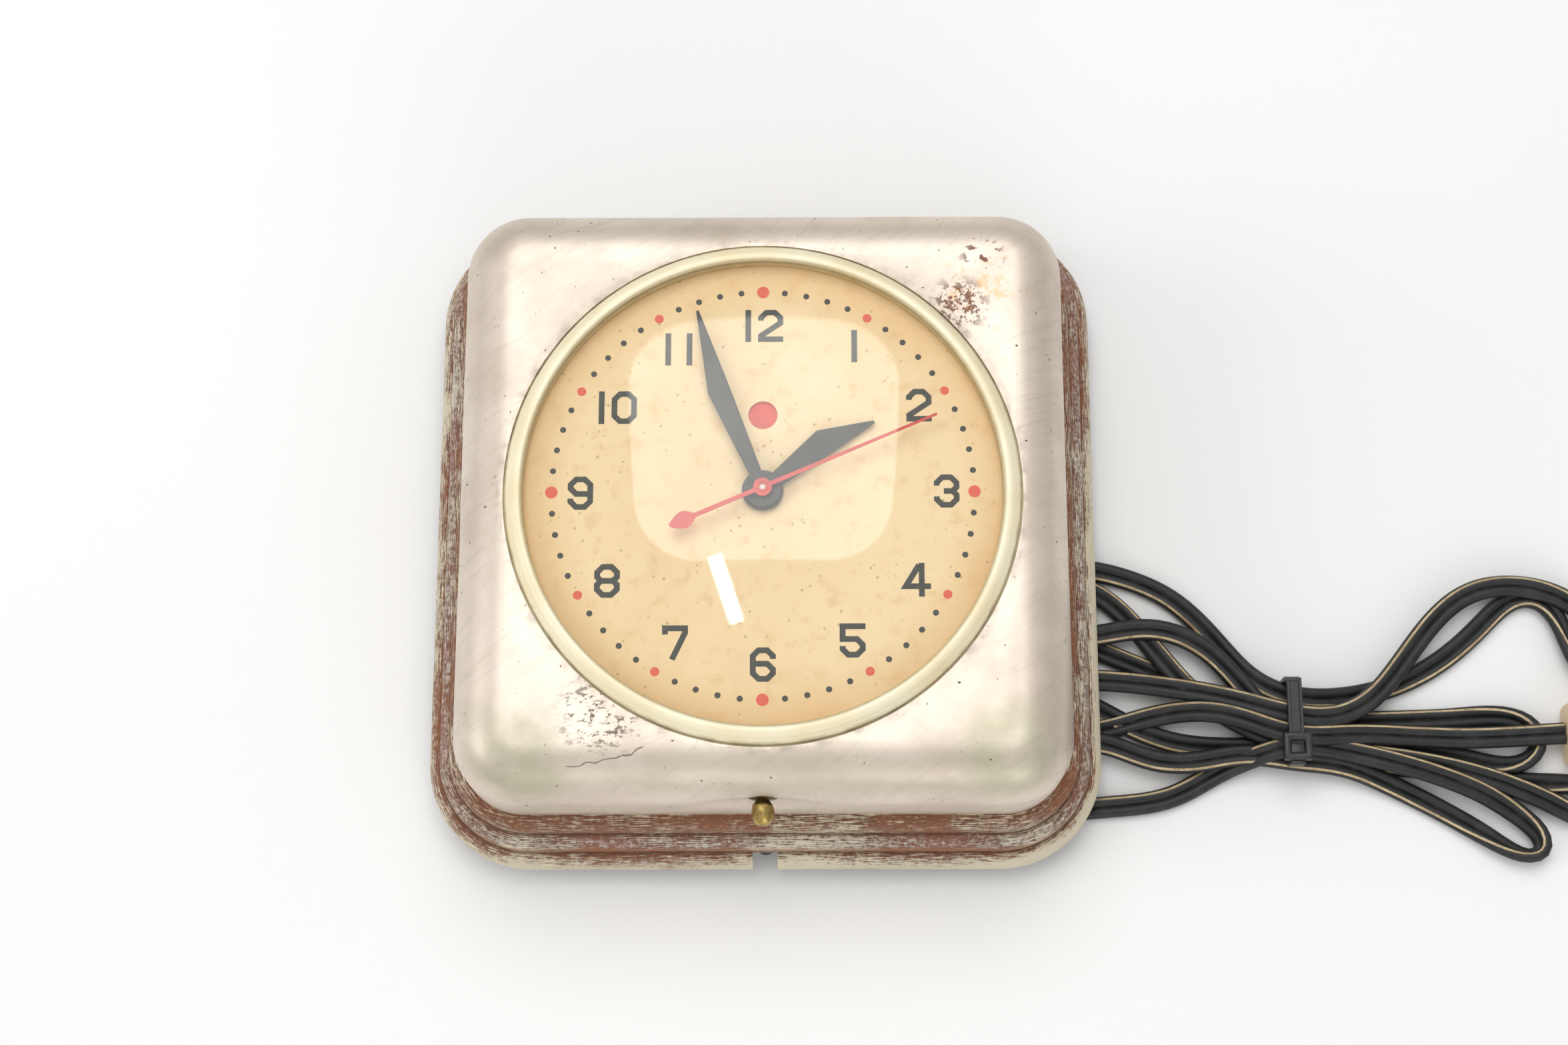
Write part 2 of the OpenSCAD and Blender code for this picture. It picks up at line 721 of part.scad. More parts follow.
module motion_work_wheel() {
    m = mesh_m(motion_dist, cannon_teeth, motion_teeth);
    m2 = mesh_m(motion_dist, small_teeth, hour_teeth);
    color("gold") rotate(motion_at) translate([motion_dist, 0]) difference() {
        union() {
            wheel(m, motion_teeth, cannon_teeth, 180, arbor_r, cannon_z, wheel_t);
            pinion(m2, small_teeth, 180, motion_pinion_z, hour_wheel_z + 1.1 - motion_pinion_z);
        }
        rod(arbor_r + run_fit, cannon_z - 1, 6);
    }
}

module motion_work_stud() {
    color("silver") rotate(motion_at) translate([motion_dist, 0]) {
        rod(arbor_r, front_plate_z, hour_wheel_z + 1.3 - front_plate_z);
        rod(1.4, motion_z, cannon_z - motion_z - 0.1);
    }
}

module hour_wheel() {
    m = mesh_m(motion_dist, small_teeth, hour_teeth);
    color("gold") difference() {
        union() {
            wheel(m, hour_teeth, small_teeth, motion_at, hour_bore, hour_wheel_z, 0.8);
            rod(hour_tube_r, hour_wheel_z, hour_hand_z + hand_t - hour_wheel_z);
        }
        rod(hour_bore, hour_wheel_z - 1, 8);
    }
}

module hour_hand() {
    color([0.12, 0.12, 0.12]) rotate(-hour_angle) translate([0, 0, hour_hand_z]) linear_extrude(hand_t)
        difference() {
            union() {
                circle(hour_hub_r, $fn = 64);
                blade(hour_len, 1.5, 5.6, 19, 0.35);
            }
            circle(hour_tube_r, $fn = 48);
        }
}

// Along the setting shaft: z runs from the centre towards 6 o'clock
module along_set() {
    translate([0, 0, set_z]) rotate([90, 0, 0]) children();
}

module set_shaft() {
    color("goldenrod") along_set() rod(set_shaft_r, 4, knob_start + 3 - 4);
}

module set_pinion() {
    color("gold") along_set() difference() {
        pinion(crown_m, small_teeth, -90, crown_in + 0.3, crown_out - crown_in - 0.6);
        rod(set_shaft_r, 0, 20);
    }
}

module set_knob() {
    tip = 1.6;
    color("darkgoldenrod") along_set() difference() {
        union() {
            rod(knob_r, knob_start, knob_len - tip);
            translate([0, 0, knob_start + knob_len - tip])
                cylinder(r1 = knob_r, r2 = knob_r - 1, h = tip, $fn = 48);
        }
        rod(set_shaft_r, knob_start - 1, 4);
    }
}

module set_bracket() {
    inner = 3.6;
    outer = 25.4;
    color("goldenrod") difference() {
        union() {
            for (y = [inner, outer]) translate([-3, -y - 2.6, set_z - 2]) cube([6, 2.6, front_plate_z - set_z + 2]);
            translate([-3, -outer, front_plate_z - 0.6]) cube([6, outer - inner, 0.6]);
        }
        along_set() rod(set_shaft_r + run_fit, 0, 40);
    }
}

// Pivoted flag: one patch is red, the other pale
module indicator_flag() {
    arm = flag_y - indicator_y;
    color("firebrick") translate([0, flag_y, flag_z]) linear_extrude(flag_t) difference() {
        union() {
            circle(2.6, $fn = 48);
            for (a = [-90, -90 - flag_turn]) rotate(a) {
                translate([arm, 0]) circle(flag_patch_r, $fn = 48);
                translate([0, -1.2]) square([arm, 2.4]);
            }
        }
        circle(flag_stud_r + run_fit, $fn = 48);
    }
}

module indicator_stud() {
    color("silver") translate([0, flag_y]) {
        rod(flag_stud_r, front_plate_z, flag_z + flag_t + 0.05 - front_plate_z);
        rod(1.8, motion_z, flag_z - 0.05 - motion_z);
        rod(1.8, flag_z + flag_t + 0.05, 0.25);
    }
}

// A tube swept along points, its cross-sections square to the way it runs
function unit(v) = v / norm(v);
function way(p, i) = unit(p[min(i + 1, len(p) - 1)] - p[max(i - 1, 0)]);
function tube_ring(p, i, r) = let (
    w = way(p, i), side = unit(cross(w, [0, 0, 1])), up = cross(side, w))
    [for (k = [0:cord_sides - 1]) let (a = 360 * k / cord_sides) p[i] + r * (side * cos(a) + up * sin(a))];

module tube(p, r) {
    n = cord_sides;
    last = len(p) - 1;
    points = [for (i = [0:last], q = tube_ring(p, i, r)) q];
    walls = [for (i = [0:last - 1], k = [0:n - 1]) let (j = (k + 1) % n)
        [i * n + k, i * n + j, (i + 1) * n + j, (i + 1) * n + k]];
    ends = [[for (k = [n - 1:-1:0]) k], [for (k = [0:n - 1]) last * n + k]];
    polyhedron(points, concat(walls, ends), convexity = 4);
}

module cord_lead() {
    color([0.1, 0.1, 0.1]) tube(lead_points, cord_tube_r);
}

// The folded cord seen from above: loops under the case, the tied waist, and two fans of loops
module hank_outline() {
    difference() {
        union() {
            polygon([[68, -6], [78, -3], [96, -5], [112, -14], [126, -34], [146, -35], [162, -26],
                [172, -14], [184, -5], [212, -6], [221, -16], [221, -32], [214, -40], [190, -44],
                [168, -46], [186, -58], [202, -70], [207, -80], [198, -84], [180, -76], [160, -66],
                [146, -59], [126, -59], [110, -70], [92, -74], [60, -76], [46, -70], [44, -56],
                [50, -34], [66, -28], [68, -20]]);
            for (p = [[76, -11, 8], [54, -66, 10], [212, -15, 9], [200, -78, 6.5]])
                translate([p[0], p[1]]) circle(p[2], $fn = 32);
            translate([150, plug_y - 6]) square([plug_x - 150, 12]);
        }
        translate([plug_x, plug_y - plug_w]) square([60, 2 * plug_w - 8]);
    }
}

module cord_hank() {
    color([0.1, 0.1, 0.1]) difference() {
        union() {
            linear_extrude(hank_h) hank_outline();
            translate([tie_x, tie_y, 0]) linear_extrude(hank_hump_h)
                square([40, 2 * tie_half - 3.2], center = true);
        }
        translate([tie_x - tie_w / 2 - seat_gap, tie_y - 30, -1]) difference() {
            cube([tie_w + 2 * seat_gap, 60, 20]);
            translate([-5, 30 - (tie_half - tie_t - seat_gap), 1 + tie_t + seat_gap])
                cube([20, 2 * (tie_half - tie_t - seat_gap), hank_hump_h - tie_t - seat_gap]);
        }
    }
}

module cable_tie() {
    top = hank_hump_h + seat_gap + tie_t;
    color([0.08, 0.08, 0.08]) translate([tie_x, tie_y, 0]) {
        difference() {
            translate([-tie_w / 2, -tie_half, 0]) cube([tie_w, 2 * tie_half, top]);
            translate([-tie_w, -tie_half + tie_t, tie_t]) cube([2 * tie_w, 2 * (tie_half - tie_t), top - 2 * tie_t]);
        }
        translate([-tie_head / 2, -tie_half + 0.5, top]) cube([tie_head, 7, 2.4]);
    }
}

module plug_body() {
    color("cornsilk") translate([plug_x, plug_y, 0]) difference() {
        union() {
            translate([2, -plug_w / 2, 0]) cube([plug_len - 2, plug_w, plug_h]);
            translate([0, -plug_w / 2 + 4, 1]) cube([3, plug_w - 8, plug_h - 3]);
        }
        for (s = [-1, 1]) translate([plug_len - 5, s * blade_pitch / 2 - blade_t / 2, plug_h / 2 - blade_w / 2])
            cube([6, blade_t, blade_w]);
    }
}

module plug_blades() {
    color("tan") translate([plug_x + plug_len - 5, plug_y, plug_h / 2 - blade_w / 2])
        for (s = [-1, 1]) translate([0, s * blade_pitch / 2 - blade_t / 2, 0]) cube([5 + blade_len, blade_t, blade_w]);
}

back_pan();
front_cover();
bezel_ring();
crystal();
dial();
dial_clips();
cover_brackets();
case_screws();
back_cover();
back_cover_screws();
hanger_plate();
hanger_rivets();
wall_bumper();
cord_grommet();
movement_back_plate();
movement_front_plate();
plate_pillars();
pillar_nuts();
movement_washers();
movement_screws();
field_core();
coil_bobbin();
coil_winding();
shading_rings();
core_spacers();
core_screws();
rotor_can();
can_clamp();
rotor_pinion();
seconds_arbor();
seconds_wheel();
second_hand();
intermediate_arbor();
intermediate_wheel();
minute_tube();
minute_gear();
clutch_spring();
crown_wheel();
cannon_pinion();
minute_hand();
motion_work_wheel();
motion_work_stud();
hour_wheel();
hour_hand();
set_shaft();
set_pinion();
set_knob();
set_bracket();
indicator_flag();
indicator_stud();
cord_lead();
cord_hank();
cable_tie();
plug_body();
plug_blades();
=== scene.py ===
import json
import math

import bmesh
import bpy
from mathutils import Matrix, Vector, noise


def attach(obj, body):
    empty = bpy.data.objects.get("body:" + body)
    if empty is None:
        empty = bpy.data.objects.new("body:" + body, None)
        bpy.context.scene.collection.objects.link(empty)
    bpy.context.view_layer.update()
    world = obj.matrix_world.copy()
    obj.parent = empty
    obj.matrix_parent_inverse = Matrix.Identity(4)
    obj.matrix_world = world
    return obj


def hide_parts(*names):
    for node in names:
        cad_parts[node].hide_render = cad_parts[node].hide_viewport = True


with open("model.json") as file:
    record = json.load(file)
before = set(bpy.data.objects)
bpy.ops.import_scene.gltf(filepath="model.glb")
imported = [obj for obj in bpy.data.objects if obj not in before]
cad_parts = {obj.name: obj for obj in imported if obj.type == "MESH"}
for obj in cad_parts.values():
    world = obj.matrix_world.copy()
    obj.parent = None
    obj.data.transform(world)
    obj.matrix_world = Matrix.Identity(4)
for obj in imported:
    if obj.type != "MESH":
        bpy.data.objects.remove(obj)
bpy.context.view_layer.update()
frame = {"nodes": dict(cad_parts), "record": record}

mm = 0.001
print("clock: the packed parts are in")


# helpers for picking a piece, starting one and closing it

def alone(piece):
    if bpy.context.mode != "OBJECT":
        bpy.ops.object.mode_set(mode="OBJECT")
    bpy.ops.object.select_all(action="DESELECT")
    if piece:
        piece.select_set(True)
        bpy.context.view_layer.objects.active = piece


def begin(name):  # takes the new primitive, with its place put into its mesh
    piece = bpy.context.active_object
    piece.name = name
    piece.data.name = name
    bpy.ops.object.transform_apply(location=True, rotation=True, scale=True)
    return piece


def editAll(piece):
    alone(piece)
    bpy.ops.object.mode_set(mode="EDIT")
    bpy.ops.mesh.select_all(action="SELECT")


def pickFaces(piece, test):
    bpy.ops.mesh.select_mode(type="FACE")
    bpy.ops.mesh.select_all(action="DESELECT")
    mesh = bmesh.from_edit_mesh(piece.data)
    for face in mesh.faces:
        if test(face.calc_center_median() / mm, face.normal):
            face.select_set(True)
    bmesh.update_edit_mesh(piece.data)


def pickEdges(piece, test):  # the test gets both ends in mm
    bpy.ops.mesh.select_mode(type="EDGE")
    bpy.ops.mesh.select_all(action="DESELECT")
    mesh = bmesh.from_edit_mesh(piece.data)
    for edge in mesh.edges:
        if test(edge.verts[0].co / mm, edge.verts[1].co / mm):
            edge.select_set(True)
    bmesh.update_edit_mesh(piece.data)


def climb(rise):  # extrudes what is picked upwards
    bpy.ops.mesh.extrude_region_move(TRANSFORM_OT_translate={"value": (0, 0, rise * mm)})


def stepIn(distance, rise=0):
    bpy.ops.mesh.inset(thickness=distance * mm, depth=rise * mm, use_even_offset=True)


def shoulder(radius, steps):  # a rounded edge from an upright wall to a flat top
    for step in range(steps):
        a = math.pi / 2 * step / steps
        b = math.pi / 2 * (step + 1) / steps
        stepIn(radius * (math.cos(a) - math.cos(b)), radius * (math.sin(b) - math.sin(a)))


def addModifier(piece, kind, **settings):
    alone(piece)
    modifier = piece.modifiers.new(kind.title(), kind)
    for name, value in settings.items():
        setattr(modifier, name, value)
    bpy.ops.object.modifier_apply(modifier=modifier.name)


def softEdges(piece, width, turn=0.9, segments=2):
    addModifier(piece, "BEVEL", width=width * mm, segments=segments, limit_method="ANGLE", angle_limit=turn)


def cutAway(piece, *cutters):
    for cutter in cutters:
        addModifier(piece, "BOOLEAN", operation="DIFFERENCE", solver="EXACT", object=cutter)
        bpy.data.objects.remove(cutter)


def drum(name, radius, low, high, at=(0, 0), sides=96):  # an upright round cutter or blank
    alone(None)
    bpy.ops.mesh.primitive_cylinder_add(vertices=sides, radius=radius * mm, depth=(high - low) * mm,
                                        location=(at[0] * mm, at[1] * mm, (low + high) / 2 * mm))
    return begin(name)


def block(name, low, high):
    alone(None)
    bpy.ops.mesh.primitive_cube_add(size=1, location=[(a + b) / 2 * mm for a, b in zip(low, high)],
                                    scale=[(b - a) * mm for a, b in zip(low, high)])
    return begin(name)


def startPoint(name, place):  # a single point to draw an outline from
    alone(None)
    bpy.ops.mesh.primitive_plane_add(size=mm)
    piece = begin(name)
    editAll(piece)
    bpy.ops.mesh.select_mode(type="VERT")
    bpy.ops.mesh.select_all(action="SELECT")
    bpy.ops.mesh.merge(type="CENTER")
    bpy.ops.transform.translate(value=Vector(place) * mm)
    return piece


def drawOn(points):
    for a, b in zip(points, points[1:]):
        bpy.ops.mesh.extrude_region_move(TRANSFORM_OT_translate={"value": (Vector(b) - Vector(a)) * mm})


def heal():
    bpy.ops.mesh.select_all(action="SELECT")
    bpy.ops.mesh.remove_doubles(threshold=0.000002)
    bpy.ops.mesh.normals_make_consistent(inside=False)


def turned(name, profile, steps=128):  # a lathe profile of (radius, height) about the dial's axis
    points = [(r, 0, z) for r, z in profile]
    piece = startPoint(name, points[0])
    drawOn(points)
    bpy.ops.mesh.select_all(action="SELECT")
    bpy.ops.mesh.spin(steps=steps, angle=2 * math.pi, center=(0, 0, 0), axis=(0, 0, 1))
    heal()
    return piece


def shift(piece, place, turn=None):
    editAll(piece)
    if turn:
        bpy.ops.transform.rotate(value=-turn[0], orient_axis=turn[1], center_override=(0, 0, 0))
    bpy.ops.transform.translate(value=Vector(place) * mm)
    bpy.ops.object.mode_set(mode="OBJECT")


def sheetShape(name, outline, low, thickness):  # a flat outline, given its thickness upwards
    points = [(x, y, low) for x, y in outline]
    piece = startPoint(name, points[0])
    drawOn(points)
    bpy.ops.mesh.select_all(action="SELECT")
    bpy.ops.mesh.edge_face_add()
    climb(thickness)
    heal()
    return piece


def joined(name, *pieces):
    alone(pieces[0])
    for piece in pieces:
        piece.select_set(True)
    bpy.ops.object.join()
    whole = bpy.context.active_object
    whole.name = name
    whole.data.name = name
    return whole


def close(piece, body, slot, smooth=35, material=None):  # the slot's own finish, unless one is given
    alone(piece)
    bpy.ops.object.shade_smooth_by_angle(angle=math.radians(smooth))
    piece.data.materials.clear()
    piece.data.materials.append(material or slotFinish[slot])
    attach(piece, body)


# shader sums and the finishes

class Wire:
    def __init__(self, tree, socket=None):
        self.tree = tree
        self.socket = socket

    def add(self, kind, settings=None, sockets=None, out=0):
        node = self.tree.nodes.new("ShaderNode" + kind)
        for name, value in (settings or {}).items():
            setattr(node, name, value)
        for name, value in (sockets or {}).items():
            if isinstance(value, Wire):
                self.tree.links.new(value.socket, node.inputs[name])
            else:
                node.inputs[name].default_value = value
        return Wire(self.tree, node.outputs[out])

    def sum(self, operation, a, b):
        return self.add("Math", {"operation": operation}, {0: a, 1: b})

    def __add__(self, other):
        return self.sum("ADD", self, other)

    def __radd__(self, other):
        return self.sum("ADD", other, self)

    def __sub__(self, other):
        return self.sum("SUBTRACT", self, other)

    def __rsub__(self, other):
        return self.sum("SUBTRACT", other, self)

    def __mul__(self, other):
        return self.sum("MULTIPLY", self, other)

    def __rmul__(self, other):
        return self.sum("MULTIPLY", other, self)

    def between(self, low, high):  # 0 below low, 1 above high, smooth between
        return self.add("MapRange", {"interpolation_type": "SMOOTHSTEP"}, {0: self, 1: low, 2: high})

    def least(self, other):
        return self.sum("MINIMUM", self, other)

    def most(self, other):
        return self.sum("MAXIMUM", self, other)

    def size(self):
        return self.sum("ABSOLUTE", self, 0.0)

    def stretched(self, x, y, z):
        return self.add("Mapping", {"vector_type": "POINT"}, {"Vector": self, "Scale": (x, y, z)})

    def turned(self, angle):
        return self.add("Mapping", {"vector_type": "POINT"}, {"Vector": self, "Rotation": (0, 0, angle)})

    def specks(self, scale, detail=3.0, rough=0.5):
        wanted = {"Vector": self, "Scale": scale, "Detail": detail, "Roughness": rough}
        return self.add("TexNoise", {}, wanted)

    def cells(self, scale):
        return self.add("TexVoronoi", {"feature": "F1"}, {"Vector": self, "Scale": scale})

    def part(self, axis):
        return self.add("SeparateXYZ", {}, {0: self}, "XYZ".index(axis))

    def blended(self, amount, colour, other):
        return self.add("Mix", {"data_type": "RGBA"}, {0: amount, 6: colour, 7: other}, 2)

    def fromAxis(self):  # how far from the dial's axis
        flat = self.add("VectorMath", {"operation": "MULTIPLY"}, {0: self, 1: (1, 1, 0)})
        return self.add("VectorMath", {"operation": "LENGTH"}, {0: flat}, 1)

    def near(self, x, y, z, reach):  # 1 at a place in mm, fading to 0 at the reach
        gap = self.add("VectorMath", {"operation": "DISTANCE"}, {0: self, 1: (x * mm, y * mm, z * mm)}, 1)
        return 1 - gap.between(reach * 0.35 * mm, reach * mm)


def finish(name, recipe, **fixed):
    material = bpy.data.materials.new(name)
    material.use_nodes = True
    tree = material.node_tree
    shader = tree.nodes["Principled BSDF"]
    start = Wire(tree)
    place = start.add("TexCoord", {}, {}, 3)
    for socket, value in {**fixed, **recipe(start, place)}.items():
        socket = socket.replace("_", " ")
        if isinstance(value, Wire):
            tree.links.new(value.socket, shader.inputs[socket])
        else:
            shader.inputs[socket].default_value = value
    return material


def relief(start, height, strength=0.3, distance=0.0002):
    return start.add("Bump", {}, {"Strength": strength, "Distance": distance, "Height": height})


nickel = {"light": (0.75, 0.655, 0.56, 1), "dull": (0.57, 0.485, 0.395, 1), "reflectedGreen": (0.44, 0.45, 0.29, 1),
          "rust": (0.20, 0.065, 0.025, 1), "stain": (0.72, 0.47, 0.26, 1), "pit": (0.10, 0.07, 0.05, 1)}


def nickelRecipe(start, place):
    wander = place.add("TexNoise", {}, {"Vector": place, "Scale": 9.0}, 1)
    wander = place.add("VectorMath", {"operation": "SCALE"}, {0: wander, 3: 0.05})
    bent = place.add("VectorMath", {"operation": "ADD"}, {0: place, 1: wander})
    rub = bent.turned(0.9).stretched(1000, 45, 45).specks(1.0, 4.0)
    arcs = bent.turned(-0.5).stretched(38, 1100, 38).specks(1.0, 4.0)
    brush = (rub + arcs) * 0.5
    swirl = place.specks(18, 2.0)
    fine = place.specks(2200, 4.0, 0.8)
    cloud = place.specks(45, 4.0, 0.6)
    tone = start.blended(cloud.between(0.35, 0.75) * 0.75, nickel["light"], nickel["dull"])
    tone = start.blended(brush.between(0.48, 0.70) * 0.5, tone, nickel["dull"])
    x, y, height = place.part("X"), place.part("Y"), place.part("Z")
    # painted reflection: a greenish tint across the upper part of the bottom fillet, broken up by noise,
    # stands in for darker surroundings mirrored in the metal
    low = (0 - y).between(58 * mm, 66 * mm) * (0 - y).between(60 * mm, 75 * mm).most(0.35)
    bottomFilletReflection = low * height.between(50 * mm, 56 * mm)
    bottomFilletReflection = bottomFilletReflection * place.stretched(1, 3, 3).specks(60, 3.0).between(0.3, 0.65)
    tone = start.blended(bottomFilletReflection * 0.6, tone, nickel["reflectedGreen"])
    # painted reflection: more of the same greenish tint at both bottom corners of the fillet
    corner = place.near(-58, -62, 56, 17).most(place.near(58, -62, 56, 15)) * cloud.between(0.35, 0.6)
    tone = start.blended(corner * 0.55, tone, nickel["reflectedGreen"])
    cell = place.stretched(1, 1.6, 1).cells(300)
    rarely = place.specks(420, 1.0).between(0.62, 0.66)
    pits = (1 - cell.between(0.10, 0.17)) * rarely
    flecks = 1 - place.stretched(1, 0.6, 1).cells(760).between(0.12, 0.2)
    flecks = flecks * place.specks(160, 2.0).between(0.6, 0.66)
    patch = place.near(52, 50, 58, 15) * place.specks(300, 5.0, 0.7).between(0.54, 0.60)
    core = place.near(48, 47, 58, 9) * place.specks(520, 5.0, 0.75).between(0.50, 0.54)
    core = core.most(place.near(54, 60, 58, 7) * place.specks(430, 4.0).between(0.58, 0.62))
    scuff = place.stretched(1, 1.6, 1).specks(420, 5.0, 0.8).between(0.54, 0.60)
    scuff = place.near(-38, -55, 58, 13) * scuff
    line = (y + 0.0673 - (x + 0.046) * 0.26 + (place.specks(150, 3.0) - 0.5) * 0.006).size()
    scratch = (1 - line.between(0.10 * mm, 0.30 * mm)) * (1 - (x + 0.037).size().between(8.5 * mm, 9.5 * mm))
    scuff = scuff.most(scratch * height.between(45 * mm, 47 * mm))
    tone = start.blended(patch * 0.75, tone, nickel["stain"])
    tone = start.blended(core * 0.9, tone, nickel["rust"])
    tone = start.blended(scuff * 0.8, tone, nickel["pit"])
    tone = start.blended(pits.most(flecks * 0.8), tone, nickel["pit"])
    # painted shade: the cover is darkened in a ring round its opening, next to the gap with the bezel, broken
    # up by noise
    openingShade = (1 - place.fromAxis().between(63 * mm, 65.4 * mm)) * place.specks(240, 4.0).between(0.42, 0.7)
    tone = start.blended(openingShade * 0.32, tone, nickel["pit"])
    wear = pits.most(core).most(scuff)
    return {"Base Color": tone, "Roughness": 0.30 + cloud * 0.16 + fine * 0.12 + wear * 0.3,
            "Metallic": 0.6 - wear * 0.55,
            "Normal": relief(start, fine * 0.5 + brush * 1.1 + swirl * 0.3 - wear * 1.5, 0.26, 0.00012)}


oldPaint = {"cream": (0.66, 0.58, 0.42, 1), "rust": (0.23, 0.085, 0.038, 1), "deep": (0.11, 0.042, 0.022, 1),
            "bare": (0.66, 0.65, 0.64, 1), "orange": (0.42, 0.155, 0.045, 1)}


def oldPaintRecipe(start, place):  # the map runs along the edge in u and up the steps in v, in mm
    mapped = start.add("UVMap", {"uv_map": "alongEdge"}, {})
    streak = mapped.stretched(0.055, 0.9, 1).specks(3.2, 8.0, 0.65)
    strip = mapped.stretched(0.12, 1.7, 1).specks(3.5, 6.0, 0.7)
    blotch = place.specks(38, 5.0, 0.6)
    grain = place.specks(900, 4.0, 0.7)
    up = mapped.part("Y")
    right = place.part("X").between(40 * mm, 80 * mm) * (0 - place.part("Y")).between(-30 * mm, 60 * mm)
    low = 1 - up.between(3.0, 12.0)
    cream = (streak * 0.55 + blotch * 0.3 + grain * 0.15 + low * (0.08 + right * 0.2)).between(0.505, 0.55)
    tone = start.blended(blotch.between(0.3, 0.7), oldPaint["rust"], oldPaint["deep"])
    tone = start.blended(grain.between(0.45, 0.75) * 0.5, tone, oldPaint["orange"])
    tone = start.blended(cream, tone, oldPaint["cream"])
    hollow = (1 - (up - 13.6).size().between(0.5, 2.4)) * (streak * 0.6 + grain * 0.4).between(0.38, 0.55)
    tone = start.blended(hollow * 0.75, tone, oldPaint["orange"])
    # painted shade: thin dark lines in the inner corners of the steps, where each tread meets the next wall
    stepCornerShade = (1 - (up - 11.4).size().between(0.3, 1.1)).most(1 - (up - 22.8).size().between(0.3, 1.1))
    tone = start.blended(stepCornerShade * 0.65, tone, oldPaint["deep"])
    crest = (1 - (up - 19.4).size().between(0.8, 3.4)).most((1 - (up - 8.0).size().between(0.5, 2.2)) * 0.55)
    bare = crest * (strip * 0.7 + grain * 0.3).between(0.50, 0.58)
    tone = start.blended(bare * 0.9, tone, oldPaint["bare"])
    return {"Base Color": tone, "Roughness": 0.62 - cream * 0.14 - bare * 0.22 + grain * 0.1,
            "Metallic": bare * 0.7, "Normal": relief(start, cream + grain * 0.5 - bare * 0.3, 0.45, 0.00012)}


def bezelRecipe(start, place):
    radius = place.fromAxis()
    cloud = place.specks(70, 4.0)
    tone = start.blended(cloud.between(0.35, 0.7), (0.90, 0.83, 0.60, 1), (0.86, 0.74, 0.47, 1))
    # dirt and painted shade: a brown line round the inner edge, in the crease where the crystal meets the
    # bezel
    dirtAndShade = (1 - radius.between(57.9 * mm, 58.7 * mm)) * (0.6 + place.specks(380, 4.0) * 0.4)
    tone = start.blended(dirtAndShade * 0.8, tone, (0.33, 0.22, 0.07, 1))
    edge = radius.between(61.2 * mm, 61.95 * mm) * place.specks(200, 4.0).between(0.4, 0.65)
    tone = start.blended(edge * 0.45, tone, (0.42, 0.33, 0.16, 1))
    return {"Base Color": tone, "Roughness": 0.26 + cloud * 0.14 + dirtAndShade * 0.2,
            "Normal": relief(start, place.specks(500, 3.0), 0.08)}


def dialRecipe(start, place):
    radius = place.fromAxis()
    cloud = place.specks(30, 5.0, 0.6)
    mottle = place.specks(210, 5.0, 0.6)
    tone = start.blended(cloud.between(0.35, 0.68), (0.96, 0.79, 0.52, 1), (0.93, 0.73, 0.45, 1))
    tone = start.blended(mottle.between(0.5, 0.72) * 0.6, tone, (0.82, 0.57, 0.30, 1))
    rim = radius.between(44 * mm, 57.5 * mm) * (0.45 + cloud * 0.7)
    tone = start.blended(rim * 0.6, tone, (0.86, 0.57, 0.26, 1))
    spots = (1 - place.cells(420).between(0.08, 0.2)) * place.specks(170, 2.0).between(0.52, 0.60)
    tone = start.blended(spots * 0.55, tone, (0.30, 0.19, 0.09, 1))
    return {"Base Color": tone, "Roughness": 0.5 + mottle * 0.2, "Normal": relief(start, mottle, 0.06)}


def printRecipe(colour, worn):
    def recipe(start, place):
        wear = place.specks(900, 4.0, 0.7).between(0.52, 0.72)
        return {"Base Color": start.blended(wear * 0.55, colour, worn), "Roughness": 0.48 + wear * 0.2}
    return recipe


def handRecipe(colour, worn, gloss):
    def recipe(start, place):
        cloud = place.specks(220, 4.0)
        chips = place.specks(1400, 4.0, 0.7).between(0.64, 0.7)
        tone = start.blended(cloud.between(0.4, 0.7) * 0.5, colour, worn)
        return {"Base Color": start.blended(chips * 0.7, tone, worn), "Roughness": gloss + cloud * 0.15,
                "Normal": relief(start, cloud, 0.05)}
    return recipe


flag = {"red": (0.78, 0.10, 0.075, 1), "faded": (0.66, 0.12, 0.10, 1), "pale": (0.80, 0.72, 0.55, 1),
        "paleAt": (-7.45, 23.7, 55.8), "reach": 7}


def flagRecipe(start, place):  # one leaf of the power flag is red and the other pale
    paint = handRecipe(flag["red"], flag["faded"], 0.5)(start, place)
    paleLeaf = place.near(*flag["paleAt"], flag["reach"]).between(0.58, 0.64)
    paint["Base Color"] = start.blended(paleLeaf, paint["Base Color"], flag["pale"])
    return paint


def brassRecipe(light, dark, brushed=900):
    def recipe(start, place):
        cloud = place.specks(260, 5.0, 0.65)
        lines = place.stretched(1, 1, 0.12).specks(brushed, 4.0)
        tone = start.blended(cloud.between(0.36, 0.66), light, dark)
        return {"Base Color": tone, "Roughness": 0.24 + cloud * 0.3, "Metallic": 0.95,
                "Normal": relief(start, lines + cloud, 0.12)}
    return recipe


def plainRecipe(light, dark, metal=0.0, rough=0.5, scale=200, bump=0.15, speck=None):
    def recipe(start, place):
        cloud = place.specks(scale, 5.0, 0.6)
        grain = place.specks(scale * 6, 3.0)
        tone = start.blended(cloud.between(0.35, 0.68), light, dark)
        if speck:
            tone = start.blended(place.specks(scale * 2.2, 5.0, 0.7).between(0.58, 0.66), tone, speck)
        return {"Base Color": tone, "Roughness": rough - 0.08 + cloud * 0.18, "Metallic": metal,
                "Normal": relief(start, grain * 0.5 + cloud * 0.5, bump, 0.0001)}
    return recipe


